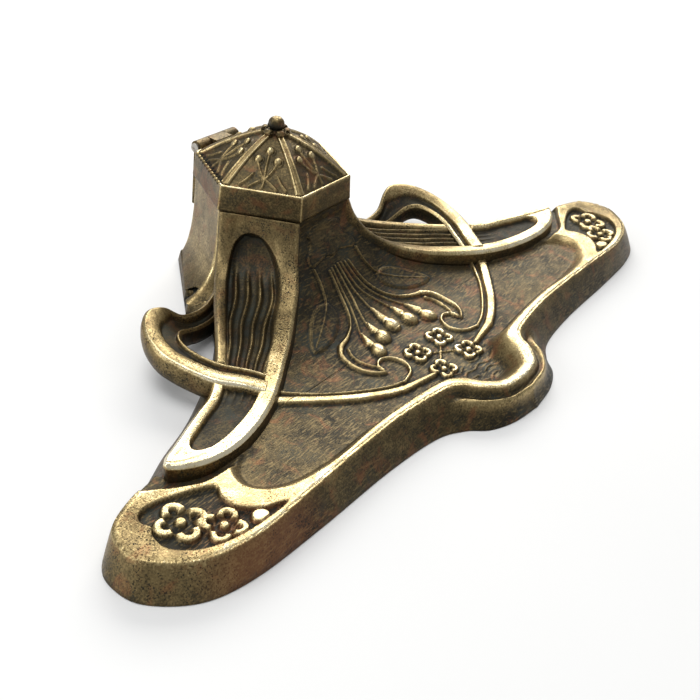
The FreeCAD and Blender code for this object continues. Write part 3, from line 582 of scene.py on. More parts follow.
def make_apron(material):
    """The concave apron between the leaves, with its fan of stems."""
    rows = 190
    columns = 330
    v = np.linspace(PROFILE_V[0], TOE_Y, rows)
    y = np.interp(-v, -PROFILE_V, PROFILE[:, 0])
    z = np.interp(-v, -PROFILE_V, PROFILE[:, 1])
    front_y = [p[1] for p in LEAF_FRONT[:10]]
    front_x = [p[0] for p in LEAF_FRONT[:10]]
    half = np.interp(-y, [-a for a in front_y], front_x) + np.interp(z, [3, 12, 26], [1.6, 1.4, 0.1])
    u = np.linspace(-1, 1, columns)
    x = half[:, None] * u[None, :]
    yy = np.repeat(y[:, None], columns, 1)
    vv = np.repeat(v[:, None], columns, 1)
    base = ground(x, yy)
    steep = step((z - 9) / 4)[:, None]
    zz = base * (1 - steep) + z[:, None] * steep
    work = ornament(x.ravel(), vv.ravel())
    height = work.height.reshape(x.shape)
    dy = np.gradient(y)
    dz = np.gradient(z)
    length = np.hypot(dy, dz)
    ny, nz = (dz / length)[:, None], (-dy / length)[:, None]
    verts = np.stack([x, yy + ny * height, zz + nz * height], -1).reshape(-1, 3)
    # back and sides, so that the apron is a plate and not a bare sheet
    thick = 1.6
    back = np.stack([x, yy - ny * thick, np.maximum(zz - nz * thick, 1.0)], -1).reshape(-1, 3)
    quads = grid_faces(rows, columns)
    count = rows * columns
    ring = np.concatenate([np.arange(columns), np.arange(1, rows) * columns + columns - 1,
                           (rows - 1) * columns + np.arange(columns - 2, -1, -1),
                           np.arange(rows - 2, 0, -1) * columns])
    nxt = np.roll(ring, -1)
    sides = np.stack([nxt, ring, ring + count, nxt + count], -1)
    faces = np.vstack([quads[:, ::-1], quads + count, sides])
    wear_and_shading = np.concatenate([work.wear_and_shading, np.full(count, 0.2)])
    return add_piece("apron_relief", np.vstack([verts, back]), faces, wear_and_shading, material,
                     replaces=["front_apron"])


def section_loft(sections):
    """Closed tube through equal-length section loops, with flat ends."""
    rows, columns = len(sections), len(sections[0])
    verts = np.array(sections).reshape(-1, 3)
    faces = [list(f) for f in grid_faces(rows, columns, wrap=True)]
    faces.append(list(range(columns))[::-1])
    faces.append([(rows - 1) * columns + k for k in range(columns)])
    return verts, faces


def joined(pieces):
    """Several sets of vertices and faces as one."""
    faces = []
    base = 0
    for verts, own_faces in pieces:
        faces += [[base + i for i in face] for face in own_faces]
        base += len(verts)
    return np.vstack([verts for verts, _ in pieces]), faces


def unit(a):
    """Vectors of length 1 in the same directions."""
    return a / np.maximum(np.linalg.norm(a, axis=-1, keepdims=True), 1e-9)


def strap_plan():
    """The strap's outline in plan where it crosses the leaf."""
    outer = along(STRAP_OUTER, 60)[:22, :2]
    inner = along(STRAP_INNER, 60)[:22, :2]
    return np.vstack([outer, inner[::-1]])


def crowned(distance, band):
    """Slight crown across a band that starts at the edge."""
    across = np.clip((distance - band / 2) / (band / 2), -1, 1)
    return 0.35 * np.cos(across * np.pi / 2) * (distance < band)


def rounding(share):
    """How far a rounded end has closed: 1 at its tip, 0 once the full width is reached."""
    u = 1 - np.clip(share, 0, 1)
    return 1 - np.sqrt(np.clip(1 - u ** 2, 0, 1))


LEAF_HEAD = 4.8
LEAF_TIP = 9.5


def leaf_shape():
    """Right leaf: bands along both edges, a sunk channel between them with ridges down its upper half."""
    rows = 320
    front = along(LEAF_FRONT, rows)
    back = along(LEAF_BACK, rows)
    t = np.linspace(0, 1, rows)
    start_normal = np.array([0.866, -0.5, 0.0])
    lean = np.clip(t * 14 / 5.0, 0, 1)[:, None]
    down = unit(np.array([0, 0, -1.0]) * lean - start_normal * (1 - lean))
    proud = start_normal * (1 - lean) * 0.9
    front, back = front + proud, back + proud
    width = np.linalg.norm(back - front, axis=1)
    across = unit(back - front)
    w = np.concatenate([np.linspace(0, 0.40, 36), np.linspace(0.41, 0.65, 26), np.linspace(0.66, 1, 34)])
    pos = w[None, :] * width[:, None]
    far = width[:, None] - pos
    middle = np.linalg.norm(np.diff((front + back) / 2, axis=0), axis=1)
    run = np.concatenate([[0], np.cumsum(middle)])[:, None]
    total = run[-1, 0]
    band_front = np.interp(run, [0, 6, 14, 24, 40, 90, total], [8.8, 7.8, 5.6, 4.9, 4.6, 4.4, 3.2])
    band_back = np.interp(run, [0, 6, 14, 24, 45, 90, total], [6.0, 5.2, 4.2, 3.6, 2.9, 2.6, 2.4])
    # the channel closes over at the top and short of the tip
    opening = step((run - LEAF_HEAD) / 2.0) * step((total - LEAF_TIP - run) / 2.5)
    half = np.maximum(width[:, None] - band_front - band_back, 0.5) / 2
    arch = half * (rounding((run - LEAF_HEAD) / 7.0) + rounding((total - LEAF_TIP - run) / 5.0))
    steep = 0.9 + 1.6 * (1 - step((run - 30) / 20))
    inner_front = (pos - band_front - arch) / steep
    inner_back = (far - band_back - arch) / 0.9
    sunk = step(np.minimum(inner_front, inner_back)) * opening
    depth = (1.5 + 0.9 * (1 - step((run - 30) / 20))) * sunk
    # ridges run down the channel and fade out along the arm
    span = np.clip((pos - band_front) / np.maximum(width[:, None] - band_front - band_back, 0.5), 0, 1)
    fade = step((run - 12) / 10) * step((76 - run) / 30)
    sway = span + 0.05 * np.sin(run * 0.09) + 0.02 * np.sin(run * 0.31)
    wave = 0.5 + 0.5 * np.cos(2 * np.pi * sway * 4.6)
    ridge = wave ** 2.2
    lift = 1.25 * ridge * fade * sunk
    round_edge = 0.55 * (bell(pos, 0.5) + bell(far, 0.5))
    crown = crowned(pos, band_front) + crowned(far, band_back)
    offset = depth - lift + round_edge - crown * 0.8
    top = front[:, None, :] + across[:, None, :] * pos[..., None] + down[:, None, :] * offset[..., None]
    # the strap lies over the leaf, so the leaf gives way under it
    under = step((signed(top[..., 0], top[..., 1], strap_plan()) + 0.4) / 0.8) * (pos > band_front)
    top[..., 2] -= 1.5 * under * (1 - sunk)
    # lighter towards the leaf's flatter lower end: partly rubbed wear, partly painted reflection
    lighter_lower_down = np.interp(run, [0, 18, 40, 62, 84, total], [0.48, 0.52, 0.60, 0.80, 0.90, 0.90])
    edge_light = 0.14 * bell(pos - 0.7, 0.5) + 0.14 * bell(far - 0.7, 0.5)
    top_wear_and_shading = (lighter_lower_down + edge_light) * (1 - sunk) + sunk * (0.20 + 0.34 * ridge * fade)
    # painted shadow: the leaf is darkened where the strap lies over it
    top_wear_and_shading = top_wear_and_shading * (1 - 0.5 * under)
    # side walls
    floor_front = np.maximum(ground(front[:, 0], front[:, 1]) - 0.6, 1.0)
    drop_front = np.clip(front[:, 2] - floor_front, 1.5, 6.0)[:, None]
    drop_back = np.clip(back[:, 2] - SHOULDER_Z + 1.6, 1.2, 6.5)[:, None]
    out_front = -across * lean
    levels = [0.18, 0.45, 0.75, 1.0]
    front_wall = [front + down * drop_front * k + out_front * 0.9 * k ** 1.5 * lean for k in levels]
    back_wall = [back + down * drop_back * k - across * 0.9 * k * lean for k in levels]
    loops = np.concatenate([
        np.stack(front_wall[::-1], 1), top, np.stack(back_wall, 1)], axis=1)
    wear_and_shading = np.concatenate([np.tile([0.26, 0.32, 0.40, 0.50], (rows, 1)), top_wear_and_shading,
                           np.tile([0.5, 0.38, 0.3, 0.25], (rows, 1))], axis=1)
    verts, faces = section_loft(loops)
    return verts, faces, np.clip(wear_and_shading, 0, 1).ravel()


STRAP_OUTER = [
    (59.5, -10.8, 8.6), (63.2, -4.9, 9), (67.1, 0.5, 9.6), (69.9, 7.3, 10.9), (71.4, 14.8, 12.6),
    (70.8, 20.3, 14), (68.6, 25.3, 15.2), (65, 29.2, 15.9), (60.5, 31.2, 16), (55.8, 30.7, 14.6),
    (50.4, 29.2, 10.4), (43, 29.6, 8.5), (36, 31, 8.8), (30, 33.6, 10.6), (25.6, 37.6, 15),
    (24.4, 38.6, 19.5),
]
STRAP_INNER = [
    (52.3, -6, 8.6), (55.8, -0.2, 9), (59.3, 5, 9.6), (61.2, 9.6, 10.4), (61.8, 13.4, 11.3),
    (61.6, 16.2, 11.7), (60.9, 18.3, 11.9), (59.6, 19.8, 11.8), (57.4, 21.2, 11), (53.2, 22.4, 9.2),
    (48.4, 22.7, 8), (41.6, 23.6, 7.4), (34.5, 26.6, 7.2), (29, 30.4, 8.4), (24.6, 34.6, 12),
    (23.4, 36, 16),
]


def strap_shape():
    """Right strap: a broad band and a thin ridge with a channel between them."""
    rows = 280
    outer = along(STRAP_OUTER, rows)
    inner = along(STRAP_INNER, rows)
    t = np.linspace(0, 1, rows)[:, None]
    crossing = 0.5 * step(t / 0.06) * step((0.30 - t) / 0.12)
    outer[:, 2:] += crossing
    inner[:, 2:] += crossing
    width = np.linalg.norm(inner - outer, axis=1)[:, None]
    across = unit(inner - outer)
    pos = np.linspace(0, 1, 48)[None, :] * width
    far = width - pos
    strut = step((t - 0.53) / 0.10)
    band = (4.9 * (1 - strut) + 2.0 * strut) * np.minimum(1, width / 6.0)
    lip = (1.1 * (1 - strut) + 0.9 * strut) * np.minimum(1, width / 6.0)
    sunk = step((pos - band) / 0.7) * step((far - lip) / 0.6)
    closing = step((1 - t) / 0.06)
    offset = (1.3 + 1.0 * strut) * sunk * closing + 0.55 * (bell(pos, 0.5) + bell(far, 0.4))
    offset = offset - 0.3 * np.sin(np.clip(pos / band, 0, 1) * np.pi) * (1 - sunk)
    offset = offset - 0.5 * strut * np.sin(span_of(pos, band, far) * 2 * np.pi) ** 2 * sunk
    down = np.array([0, 0, -1.0])
    top = outer[:, None, :] + across[:, None, :] * pos[..., None] + down * offset[..., None]
    lighter_lower_down = np.interp(t, [0, 0.15, 0.35, 0.52, 0.7, 1], [0.86, 0.82, 0.66, 0.62, 0.60, 0.55])
    top_wear_and_shading = lighter_lower_down * (1 - sunk) + 0.22 * sunk + 0.2 * bell(pos - 0.6, 0.35)
    height = 7.2
    walls = [0.12, 0.35, 0.65, 0.9]
    bulge = [0.25, 0.6, 0.6, 0.2]
    outer_wall = [outer + down * height * k - across * b for k, b in zip(walls, bulge)]
    inner_wall = [inner + down * (height - 1.6) * k + across * b * 0.3 for k, b in zip(walls, bulge)]
    floor = [inner + down * (height - 1.6) - across * 0.6, outer + down * height + across * 0.6]
    loops = np.concatenate([
        np.stack(outer_wall[::-1], 1), top, np.stack(inner_wall, 1), np.stack(floor, 1)], axis=1)
    wear_and_shading = np.concatenate([
        np.tile([0.34, 0.42, 0.48, 0.55], (rows, 1)), top_wear_and_shading, np.tile([0.34, 0.22, 0.2, 0.2], (rows, 1)),
        np.full((rows, 2), 0.2)], axis=1)
    verts, faces = section_loft(loops)
    return verts, faces, np.clip(wear_and_shading, 0, 1).ravel()


def span_of(pos, start, far):
    """Share of the way across the channel, 0 to 1."""
    return np.clip((pos - start) / np.maximum(pos - start + far, 0.5), 0, 1)


def make_pairs(name, shape, material, nodes):
    """A right-hand piece and its mirror image."""
    verts, faces, wear_and_shading = shape
    add_piece(name + "_right", verts, faces, wear_and_shading, material, replaces=[nodes[0]])
    verts, faces = mirror_piece(verts, faces)
    add_piece(name + "_left", verts, faces, wear_and_shading, material, replaces=[nodes[1]])


def hex_loop(radius, corner, side=None, per_side=24, per_corner=5):
    """Hexagon with softly rounded corners."""
    tips = hex_tips(radius, side)
    points = []
    for k in range(6):
        before = unit(tips[k - 1 if k else 5] - tips[k])
        after = unit(tips[k + 1] - tips[k])
        for u in np.linspace(0, 1, per_corner):
            points.append(tips[k] + before * corner * (1 - u) ** 2 + after * corner * u ** 2)
        start = tips[k] + after * corner
        end = tips[k + 1] - after * corner
        points += [start + (end - start) * j / per_side for j in range(1, per_side)]
    return np.array(points)


def round_loop(radius, plan):
    """Circle with a point in the same direction as each point of the plan."""
    a = np.arctan2(plan[:, 1], plan[:, 0])
    return np.column_stack([np.cos(a), np.sin(a)]) * radius


def stack_rings(rings, close=True):
    """Skin through rings of (plan points, height), joined last to first when close is set."""
    rows, columns = len(rings), len(rings[0][0])
    verts = np.vstack([np.column_stack([p, np.full(columns, z) if np.isscalar(z) else z]) for p, z in rings])
    faces = grid_faces(rows, columns, wrap=True)
    if close:
        c = np.arange(columns)
        n = (c + 1) % columns
        last = (rows - 1) * columns
        faces = np.vstack([faces, np.stack([last + c, last + n, n, c], -1)])
    return verts, faces


FOOT_SWEEP = [
    (0, 0.72, 1), (0.08, 0.54, 0.62), (0.16, 0.40, 0.38), (0.27, 0.27, 0.20), (0.38, 0.17, 0.11),
    (0.62, 0.05, 0.03), (1, 0, 0),
]


def make_housing(material):
    """Hexagonal housing with a swept foot, a bored well and an arched recess on each rear side."""
    line = smooth(FOOT_SWEEP, 0.02)
    rings = []
    wear_and_shading = []
    for share in np.linspace(0, 1, 76):
        radius = HOUSING_R + np.interp(share, line[:, 0], line[:, 1]) * FOOT_FLARE
        side = HOUSING_R + np.interp(share, line[:, 0], line[:, 2]) * FOOT_TAIL
        z = WELL_FLOOR_Z + share * (MOUTH_Z - 0.25 - WELL_FLOOR_Z)
        rings.append((hex_loop(radius, 1.0, side, per_side=60), z))
        wear_and_shading.append(0.56)
    rings.append((hex_loop(HOUSING_R - 0.25, 0.9, per_side=60), MOUTH_Z))
    wear_and_shading.append(0.7)
    bore = (LINER_HIGH[0] - LINER_LOW[0]) / 2 + 0.5
    plan = hex_loop(HOUSING_R, 1.0, per_side=60)
    for radius, z in ((bore + 0.3, MOUTH_Z), (bore, MOUTH_Z - 0.3), (bore, 12.0), (bore, WELL_FLOOR_Z)):
        rings.append((round_loop(radius, plan), z))
        wear_and_shading.append(0.35)
    verts, faces = stack_rings(rings)
    wear_and_shading = np.repeat(wear_and_shading, len(plan)).astype(float)
    outside = np.hypot(verts[:, 0], verts[:, 1]) > bore + 2
    angle = np.degrees(np.arctan2(verts[:, 1], verts[:, 0])) % 60
    corner = np.minimum(angle, 60 - angle)
    wear_and_shading = wear_and_shading + np.where(outside, 0.28 * bell(corner, 1.8), 0)
    wear_and_shading = wear_and_shading - np.where(outside, 0.12 * step((12 - verts[:, 2]) / 10), 0)
    verts[:, 1] += WELL_Y
    arch = arch_share(verts[:, 0], verts[:, 1], verts[:, 2]) * outside * (verts[:, 1] > WELL_Y)
    inward = unit(np.column_stack([-verts[:, 0], WELL_Y - verts[:, 1]]))
    verts[:, :2] += inward * (3.2 * arch)[:, None]
    wear_and_shading = wear_and_shading * (1 - arch)
    return add_piece("housing_shell", verts, faces, np.clip(wear_and_shading, 0, 1), material,
                     replaces=["well_housing"], sharp=38)


# ---- lid

LID_R = 24.5
LID_SPREAD = 0.7
LID_WALL = 2.0
BAND_HEIGHT = 7.9
DOME_RISE = 10.6
DOME_INSET = 1.2
DOME_FLAT = 0.985
DOME_LINE = [(1.0, 0.0), (0.80, 0.30), (0.58, 0.58), (0.34, 0.82), (0.13, DOME_FLAT)]


def dome_height(share):
    """Share of the dome's rise at a share of its radius."""
    line = smooth(DOME_LINE + [(0.0, 1.0)], 0.02)
    return np.interp(-share, -line[:, 0], line[:, 1])


def lid_loop(radius, corner=0.4):
    return hex_loop(max(radius, 0.8), min(corner, radius * 0.2), per_side=88, per_corner=3)


PANEL_BUDS = [(0.45, 0.0), (0.60, -2.9), (0.60, 2.9)]
PANEL_STEMS = [
    [(0.47, 0.0), (0.70, -0.2), (0.86, 0.0), (0.97, -0.2)],
    [(0.63, -2.9), (0.74, -1.9), (0.86, -0.3), (0.90, 0.0)],
    [(0.63, 2.9), (0.74, 1.9), (0.86, 0.3), (0.90, 0.0)],
    [(0.86, 0.0), (0.90, -1.8), (0.975, -4.2)],
    [(0.86, 0.0), (0.90, 1.8), (0.975, 4.2)],
    [(0.80, -3.6), (0.90, -5.4), (0.96, -7.0)],
    [(0.80, 3.6), (0.90, 5.4), (0.96, 7.0)],
]


def dome_detail(plan, foot):
    """Lift of the dome's ribs, buds and stems, and how worn each place is, with painted shade along the foot
    of each rib and round each bud.
    """
    r = np.hypot(plan[:, 0], plan[:, 1])
    angle = np.degrees(np.arctan2(plan[:, 1], plan[:, 0])) % 60
    off_hip = r * np.sin(np.radians(np.minimum(angle, 60 - angle)))
    side = r * np.sin(np.radians(angle - 30))
    out = r * np.cos(np.radians(angle - 30)) / (foot * COS30)
    half = 0.85 + 0.45 * np.clip(r / foot, 0, 1)
    rib = step((half + 0.2 - off_hip) / 0.35)
    lift = 0.8 * rib - 0.22 * step((half - 0.35 - off_hip) / 0.3)
    edge = bell(off_hip - half + 0.15, 0.22)
    wear_and_shading = 0.36 + 0.20 * rib + 0.30 * edge
    # painted shade along the foot of each rib; the panels also darken towards the dome's foot
    wear_and_shading = wear_and_shading - 0.20 * bell(off_hip - half - 0.55, 0.4) - 0.12 * step((out - 0.88) / 0.1) * (1 - rib)
    for bud_out, bud_side in PANEL_BUDS:
        d = np.hypot(side - bud_side, (out - bud_out) * foot)
        ball = np.sqrt(np.clip(1 - (d / 1.2) ** 2, 0, 1))
        ring = bell(d - 1.55, 0.28)
        lift = np.maximum(lift, 1.3 * ball)
        lift = np.maximum(lift, 0.3 * ring * (1 - rib))
        wear_and_shading = np.maximum(wear_and_shading, 0.80 * step(ball * 1.4))
        # painted shade: a dark ring round the foot of each bud
        wear_and_shading = wear_and_shading - 0.16 * bell(d - 1.25, 0.16)
    for stem in PANEL_STEMS:
        line = smooth([(b, a * foot) for a, b in stem], 0.5)
        d, _ = line_distance(side, out * foot, line)
        height = bell(d, 0.38)
        lift = np.maximum(lift, 0.5 * height)
        wear_and_shading = np.maximum(wear_and_shading, 0.36 + 0.26 * height)
    return lift, wear_and_shading


def make_lid(material):
    """Band, rope-edged rim and ribbed dome with its buds, hollow below."""
    band_low = LID_LOW[2]
    band_top = band_low + BAND_HEIGHT
    foot = LID_R - DOME_INSET
    rings = []
    ring_wear_and_shading = []

    def ring(plan, z, wear_and_shading):
        rings.append((plan, z))
        ring_wear_and_shading.append(np.full(len(plan), wear_and_shading) if np.isscalar(wear_and_shading) else wear_and_shading)

    ring(lid_loop(LID_R + LID_SPREAD - LID_WALL / COS30), band_low, 0.3)
    ring(lid_loop(LID_R + LID_SPREAD - 0.25), band_low, 0.45)
    for share in np.linspace(0, 1, 14):
        ring(lid_loop(LID_R + LID_SPREAD * (1 - share) ** 1.2), band_low + 0.25 + share * (BAND_HEIGHT - 0.6),
             0.40 + 0.1 * (share > 0.93))
    for inset, rise, wear_and_shading in ((0.12, -0.12, 0.8), (0.5, 0.1, 0.86), (0.9, 0.0, 0.7), (1.15, -0.3, 0.14)):
        ring(lid_loop(LID_R - inset), band_top + rise, wear_and_shading)
    for share in np.linspace(1.0, 0.1, 84):
        plan = lid_loop(foot * share)
        lift, wear_and_shading = dome_detail(plan, foot)
        ring(plan, band_top + DOME_RISE * dome_height(np.full(len(plan), share)) - 0.25 + lift, wear_and_shading)
    for share in (0.1, 0.34, 0.58, 0.80, 0.93):
        ring(lid_loop(foot * share, 0.2), band_top - LID_WALL + DOME_RISE * float(dome_height(share)), 0.3)
    ring(lid_loop(LID_R - LID_WALL / COS30), band_top - 3.2, 0.3)
    verts, faces = stack_rings(rings)
    wear_and_shading = np.concatenate(ring_wear_and_shading)
    corner = np.degrees(np.arctan2(verts[:, 1], verts[:, 0])) % 60
    on_band = (verts[:, 2] < band_top - 0.3) & (np.hypot(verts[:, 0], verts[:, 1]) > LID_R * COS30 - 0.5)
    wear_and_shading = wear_and_shading + np.where(on_band, 0.3 * bell(np.minimum(corner, 60 - corner), 0.7), 0)
    verts = rope_edge(verts, wear_and_shading, band_top)
    verts[:, 1] += WELL_Y
    return add_piece("lid_shell", verts, faces, np.clip(wear_and_shading, 0, 1), material, body="lid",
                     replaces=["lid"], sharp=50)


def rope_edge(verts, wear_and_shading, band_top):
    """Slanting nicks along the two rear-side top edges of the band, which also darken wear in place."""
    angle = np.degrees(np.arctan2(verts[:, 1], verts[:, 0]))
    for low, high in ((0, 60), (120, 180)):
        middle = math.radians((low + high) / 2)
        out = verts[:, 0] * math.cos(middle) + verts[:, 1] * math.sin(middle)
        side = -verts[:, 0] * math.sin(middle) + verts[:, 1] * math.cos(middle)
        on = (angle > low + 3) & (angle < high - 3) & (out > LID_R * COS30 - 1.7)
        on &= np.abs(verts[:, 2] - band_top) < 0.7
        twist = 0.5 + 0.5 * np.sin((side + out * 0.8) * 2 * math.pi / 2.0)
        verts[:, 2] -= np.where(on, 0.6 * twist, 0)
        wear_and_shading -= np.where(on, 0.6 * twist, 0)
    return verts


def make_finial(material):
    """Turned knob with a flattened top, and a scroll at the head of each rib."""
    seat = LID_LOW[2] + BAND_HEIGHT + DOME_RISE * DOME_FLAT
    top = FINIAL_HIGH[2]
    tall = top - seat
    line = smooth([(0.05, -2.0), (1.1, -2.0), (1.15, -0.4), (2.5, -0.2), (2.4, 0.4), (1.9, 0.8), (1.95, 1.2),
                   (2.3, tall - 3.0), (2.4, tall - 2.2), (2.15, tall - 1.1), (1.3, tall - 0.25),
                   (0.05, tall)], 0.2)
    count = 36
    turn = np.linspace(0, 2 * np.pi, count, endpoint=False)
    facets = 1 + 0.05 * np.cos(turn * 6)
    rings = [np.column_stack([np.cos(turn) * r * facets, np.sin(turn) * r * facets, np.full(count, seat + h)])
             for r, h in line]
    worn = np.interp(line[:, 1], [-2, 0.7, 1.1, 2.6, 3.6, 4.5], [0.1, 0.3, 0.05, 0.22, 0.34, 0.66])
    pieces = [section_loft(rings)]
    wear_and_shading = [np.repeat(worn, count)]
    for k in range(6):
        a = math.radians(60 * k)
        out = np.array([math.cos(a), math.sin(a), 0])
        side = np.array([-math.sin(a), math.cos(a), 0])
        centre = out * 3.3 + np.array([0, 0, seat + 0.55])
        spiral = []
        for share in np.linspace(0, 1, 46):
            phi = math.radians(-120 + 560 * share)
            radius = 1.25 - 0.95 * share
            rise = np.array([0, 0, math.sin(phi) * radius * 0.9])
            spiral.append(centre + out * math.cos(phi) * radius + rise)
        spiral = np.array(spiral)
        tangent = unit(np.gradient(spiral, axis=0))
        normal = np.cross(tangent, side)
        around = np.linspace(0, 2 * np.pi, 12, endpoint=False)
        tube = [[p + side * math.cos(r) * 1.15 + n * math.sin(r) * 0.24 for r in around]
                for p, n in zip(spiral, normal)]
        pieces.append(section_loft(tube))
        wear_and_shading.append(np.repeat(np.linspace(0.50, 0.34, len(spiral)), len(around)))
    verts, faces = joined(pieces)
    verts[:, 1] += WELL_Y
    return add_piece("finial_knob", verts, faces, np.concatenate(wear_and_shading), material, body="lid",
                     replaces=["lid_finial"])


# ---- materials

class Shader:
    """Small helper that builds a node tree step by step."""

    def __init__(self, name):
        self.material = bpy.data.materials.new(name)
        self.material.use_nodes = True
        self.tree = self.material.node_tree
        self.tree.nodes.clear()
        self.out = self.tree.nodes.new("ShaderNodeOutputMaterial")
        self.principled = self.tree.nodes.new("ShaderNodeBsdfPrincipled")
        self.tree.links.new(self.principled.outputs[0], self.out.inputs[0])
        coordinates = self.tree.nodes.new("ShaderNodeTexCoord")
        self.position = coordinates.outputs["Object"]

    def link(self, source, target):
        self.tree.links.new(source, target)

    def feed(self, socket, value):
        if isinstance(value, (int, float)):
            socket.default_value = value
        elif isinstance(value, tuple):
            socket.default_value = value if len(value) == len(socket.default_value) else (*value, 1.0)
        else:
            self.link(value, socket)

    def math(self, kind, a, b=0.0, clamp=False):
        node = self.tree.nodes.new("ShaderNodeMath")
        node.operation = kind
        node.use_clamp = clamp
        self.feed(node.inputs[0], a)
        self.feed(node.inputs[1], b)
        return node.outputs[0]

    def times(self, a, b):
        return self.math("MULTIPLY", a, b)

    def plus(self, a, b, clamp=False):
        return self.math("ADD", a, b, clamp)

    def minus(self, a, b, clamp=False):
        return self.math("SUBTRACT", a, b, clamp)

    def noise(self, size_mm, detail=3.0, rough=0.55, stretch=(1, 1, 1), warp=0.0):
        mapping = self.tree.nodes.new("ShaderNodeMapping")
        mapping.inputs["Scale"].default_value = stretch
        self.link(self.position, mapping.inputs["Vector"])
        node = self.tree.nodes.new("ShaderNodeTexNoise")
        node.inputs["Scale"].default_value = 1.0 / (size_mm * MM)
        node.inputs["Detail"].default_value = detail
        node.inputs["Roughness"].default_value = rough
        node.inputs["Distortion"].default_value = warp
        self.link(mapping.outputs[0], node.inputs["Vector"])
        return node.outputs["Fac"]

    def ramp(self, value, stops):
        node = self.tree.nodes.new("ShaderNodeValToRGB")
        node.color_ramp.interpolation = "EASE"
        while len(node.color_ramp.elements) < len(stops):
            node.color_ramp.elements.new(0.5)
        for element, (place, colour) in zip(node.color_ramp.elements, stops):
            element.position = place
            shade = (colour, colour, colour) if isinstance(colour, (int, float)) else colour
            element.color = (*shade, 1.0)
        self.link(value, node.inputs[0])
        return node.outputs[0]

    def above(self, value, low, high):
        """0 below low, 1 above high."""
        return self.ramp(value, [(low, 0.0), (high, 1.0)])

    def mix(self, share, a, b):
        node = self.tree.nodes.new("ShaderNodeMix")
        node.data_type = "RGBA"
        self.feed(node.inputs[0], share)
        self.feed(node.inputs[6], a)
        self.feed(node.inputs[7], b)
        return node.outputs[2]

    def spot(self, centre_mm, radius_mm):
        """1 near a place on the object, fading to 0 at the radius."""
        node = self.tree.nodes.new("ShaderNodeVectorMath")
        node.operation = "DISTANCE"
        self.link(self.position, node.inputs[0])
        node.inputs[1].default_value = tuple(c * MM for c in centre_mm)
        share = self.math("DIVIDE", node.outputs["Value"], radius_mm * MM)
        return self.ramp(share, [(0.35, 1.0), (1.0, 0.0)])

    def attribute(self, name):
        node = self.tree.nodes.new("ShaderNodeAttribute")
        node.attribute_name = name
        return node.outputs["Fac"]

    def bump(self, height, strength, distance_mm, below=None):
        node = self.tree.nodes.new("ShaderNodeBump")
        node.inputs["Strength"].default_value = strength
        node.inputs["Distance"].default_value = distance_mm * MM
        self.link(height, node.inputs["Height"])
        if below is not None:
            self.link(below, node.inputs["Normal"])
        return node.outputs[0]

    def set(self, **values):
        names = {"colour": "Base Color", "metallic": "Metallic", "roughness": "Roughness", "normal": "Normal",
                 "transmission": "Transmission Weight", "ior": "IOR", "sheen": "Sheen Weight"}
        for key, value in values.items():
            self.feed(self.principled.inputs[names[key]], value)
        return self.material


PATINA = [
    (0.00, (0.008, 0.008, 0.006)),
    (0.18, (0.023, 0.020, 0.012)),
    (0.36, (0.075, 0.057, 0.028)),
    (0.55, (0.205, 0.150, 0.068)),
    (0.76, (0.450, 0.345, 0.165)),
    (0.90, (0.690, 0.565, 0.320)),
    (1.00, (0.860, 0.770, 0.550)),
]


def aged_brass(name, base_wear=None, pits=0.5, hatch=0.35, red=0.35, copper_spot=None):
    """Old cast brass: rubbed bright where it is handled, dark and olive in its recesses; its lightness
    follows a per-point value that holds this wear together with painted shade and painted reflection.
    """
    s = Shader(name)
    wear_and_shading = s.attribute("wear_and_shading") if base_wear is None else s.plus(base_wear, 0.0)
    broad = s.minus(s.noise(18, 3, 0.5), 0.5)
    patch = s.minus(s.noise(4.5, 4, 0.6, warp=0.6), 0.5)
    grain = s.minus(s.noise(0.55, 3, 0.6), 0.5)
    speck = s.noise(0.45, 2, 0.5)
    strokes = s.noise(0.6, 3, 0.6, stretch=(0.22, 1.3, 1.0))
    tone = s.plus(wear_and_shading, s.times(broad, 0.34))
    tone = s.plus(tone, s.times(patch, 0.34))
    # the casting's grain shows most where it is half rubbed
    amount = s.ramp(wear_and_shading, [(0.0, 0.18), (0.30, 0.60), (0.60, 0.62), (0.82, 0.34), (1.0, 0.12)])
    tone = s.plus(tone, s.times(grain, amount))
    pit = s.above(speck, 0.56, 0.64)
    where = s.above(s.noise(7, 3, 0.6), 0.42, 0.58)
    shallow = s.ramp(wear_and_shading, [(0.25, 0.3), (0.55, 1.0), (0.88, 0.55), (1.0, 0.1)])
    pit = s.times(s.times(pit, where), shallow)
    tone = s.minus(tone, s.times(pit, pits), clamp=True)
    lines = s.times(s.above(strokes, 0.50, 0.62), hatch * 0.5)
    lines = s.times(lines, s.ramp(tone, [(0.12, 1.0), (0.50, 0.0)]))
    tone = s.plus(tone, lines, clamp=True)
    colour = s.ramp(tone, PATINA)
    rust = s.above(s.noise(7.5, 4, 0.65, warp=1.0), 0.50, 0.68)
    if copper_spot is not None:
        rust = s.math("MAXIMUM", rust, s.spot(copper_spot, 24.0))
    band = s.ramp(tone, [(0.10, 0.0), (0.28, 1.0), (0.58, 1.0), (0.80, 0.0)])
    colour = s.mix(s.times(s.times(rust, band), red), colour, (0.30, 0.105, 0.045))
    cool = s.above(s.noise(11, 3, 0.6, warp=0.4), 0.48, 0.66)
    dark = s.ramp(tone, [(0.10, 1.0), (0.48, 0.0)])
    colour = s.mix(s.times(s.times(cool, dark), 0.45), colour, (0.060, 0.072, 0.060))
    rough = s.ramp(tone, [(0.0, 0.62), (0.45, 0.42), (0.85, 0.28), (1.0, 0.22)])
    rough = s.plus(rough, s.times(grain, 0.30), clamp=True)
    metal = s.ramp(tone, [(0.0, 0.60), (0.4, 0.92), (0.8, 1.0)])
    coarse = s.bump(grain, 0.45, 0.16)
    pitted = s.minus(s.times(strokes, hatch * 2), pit)
    normal = s.bump(pitted, 0.5, 0.12, below=coarse)
    return s.set(colour=colour, metallic=metal, roughness=rough, normal=normal)


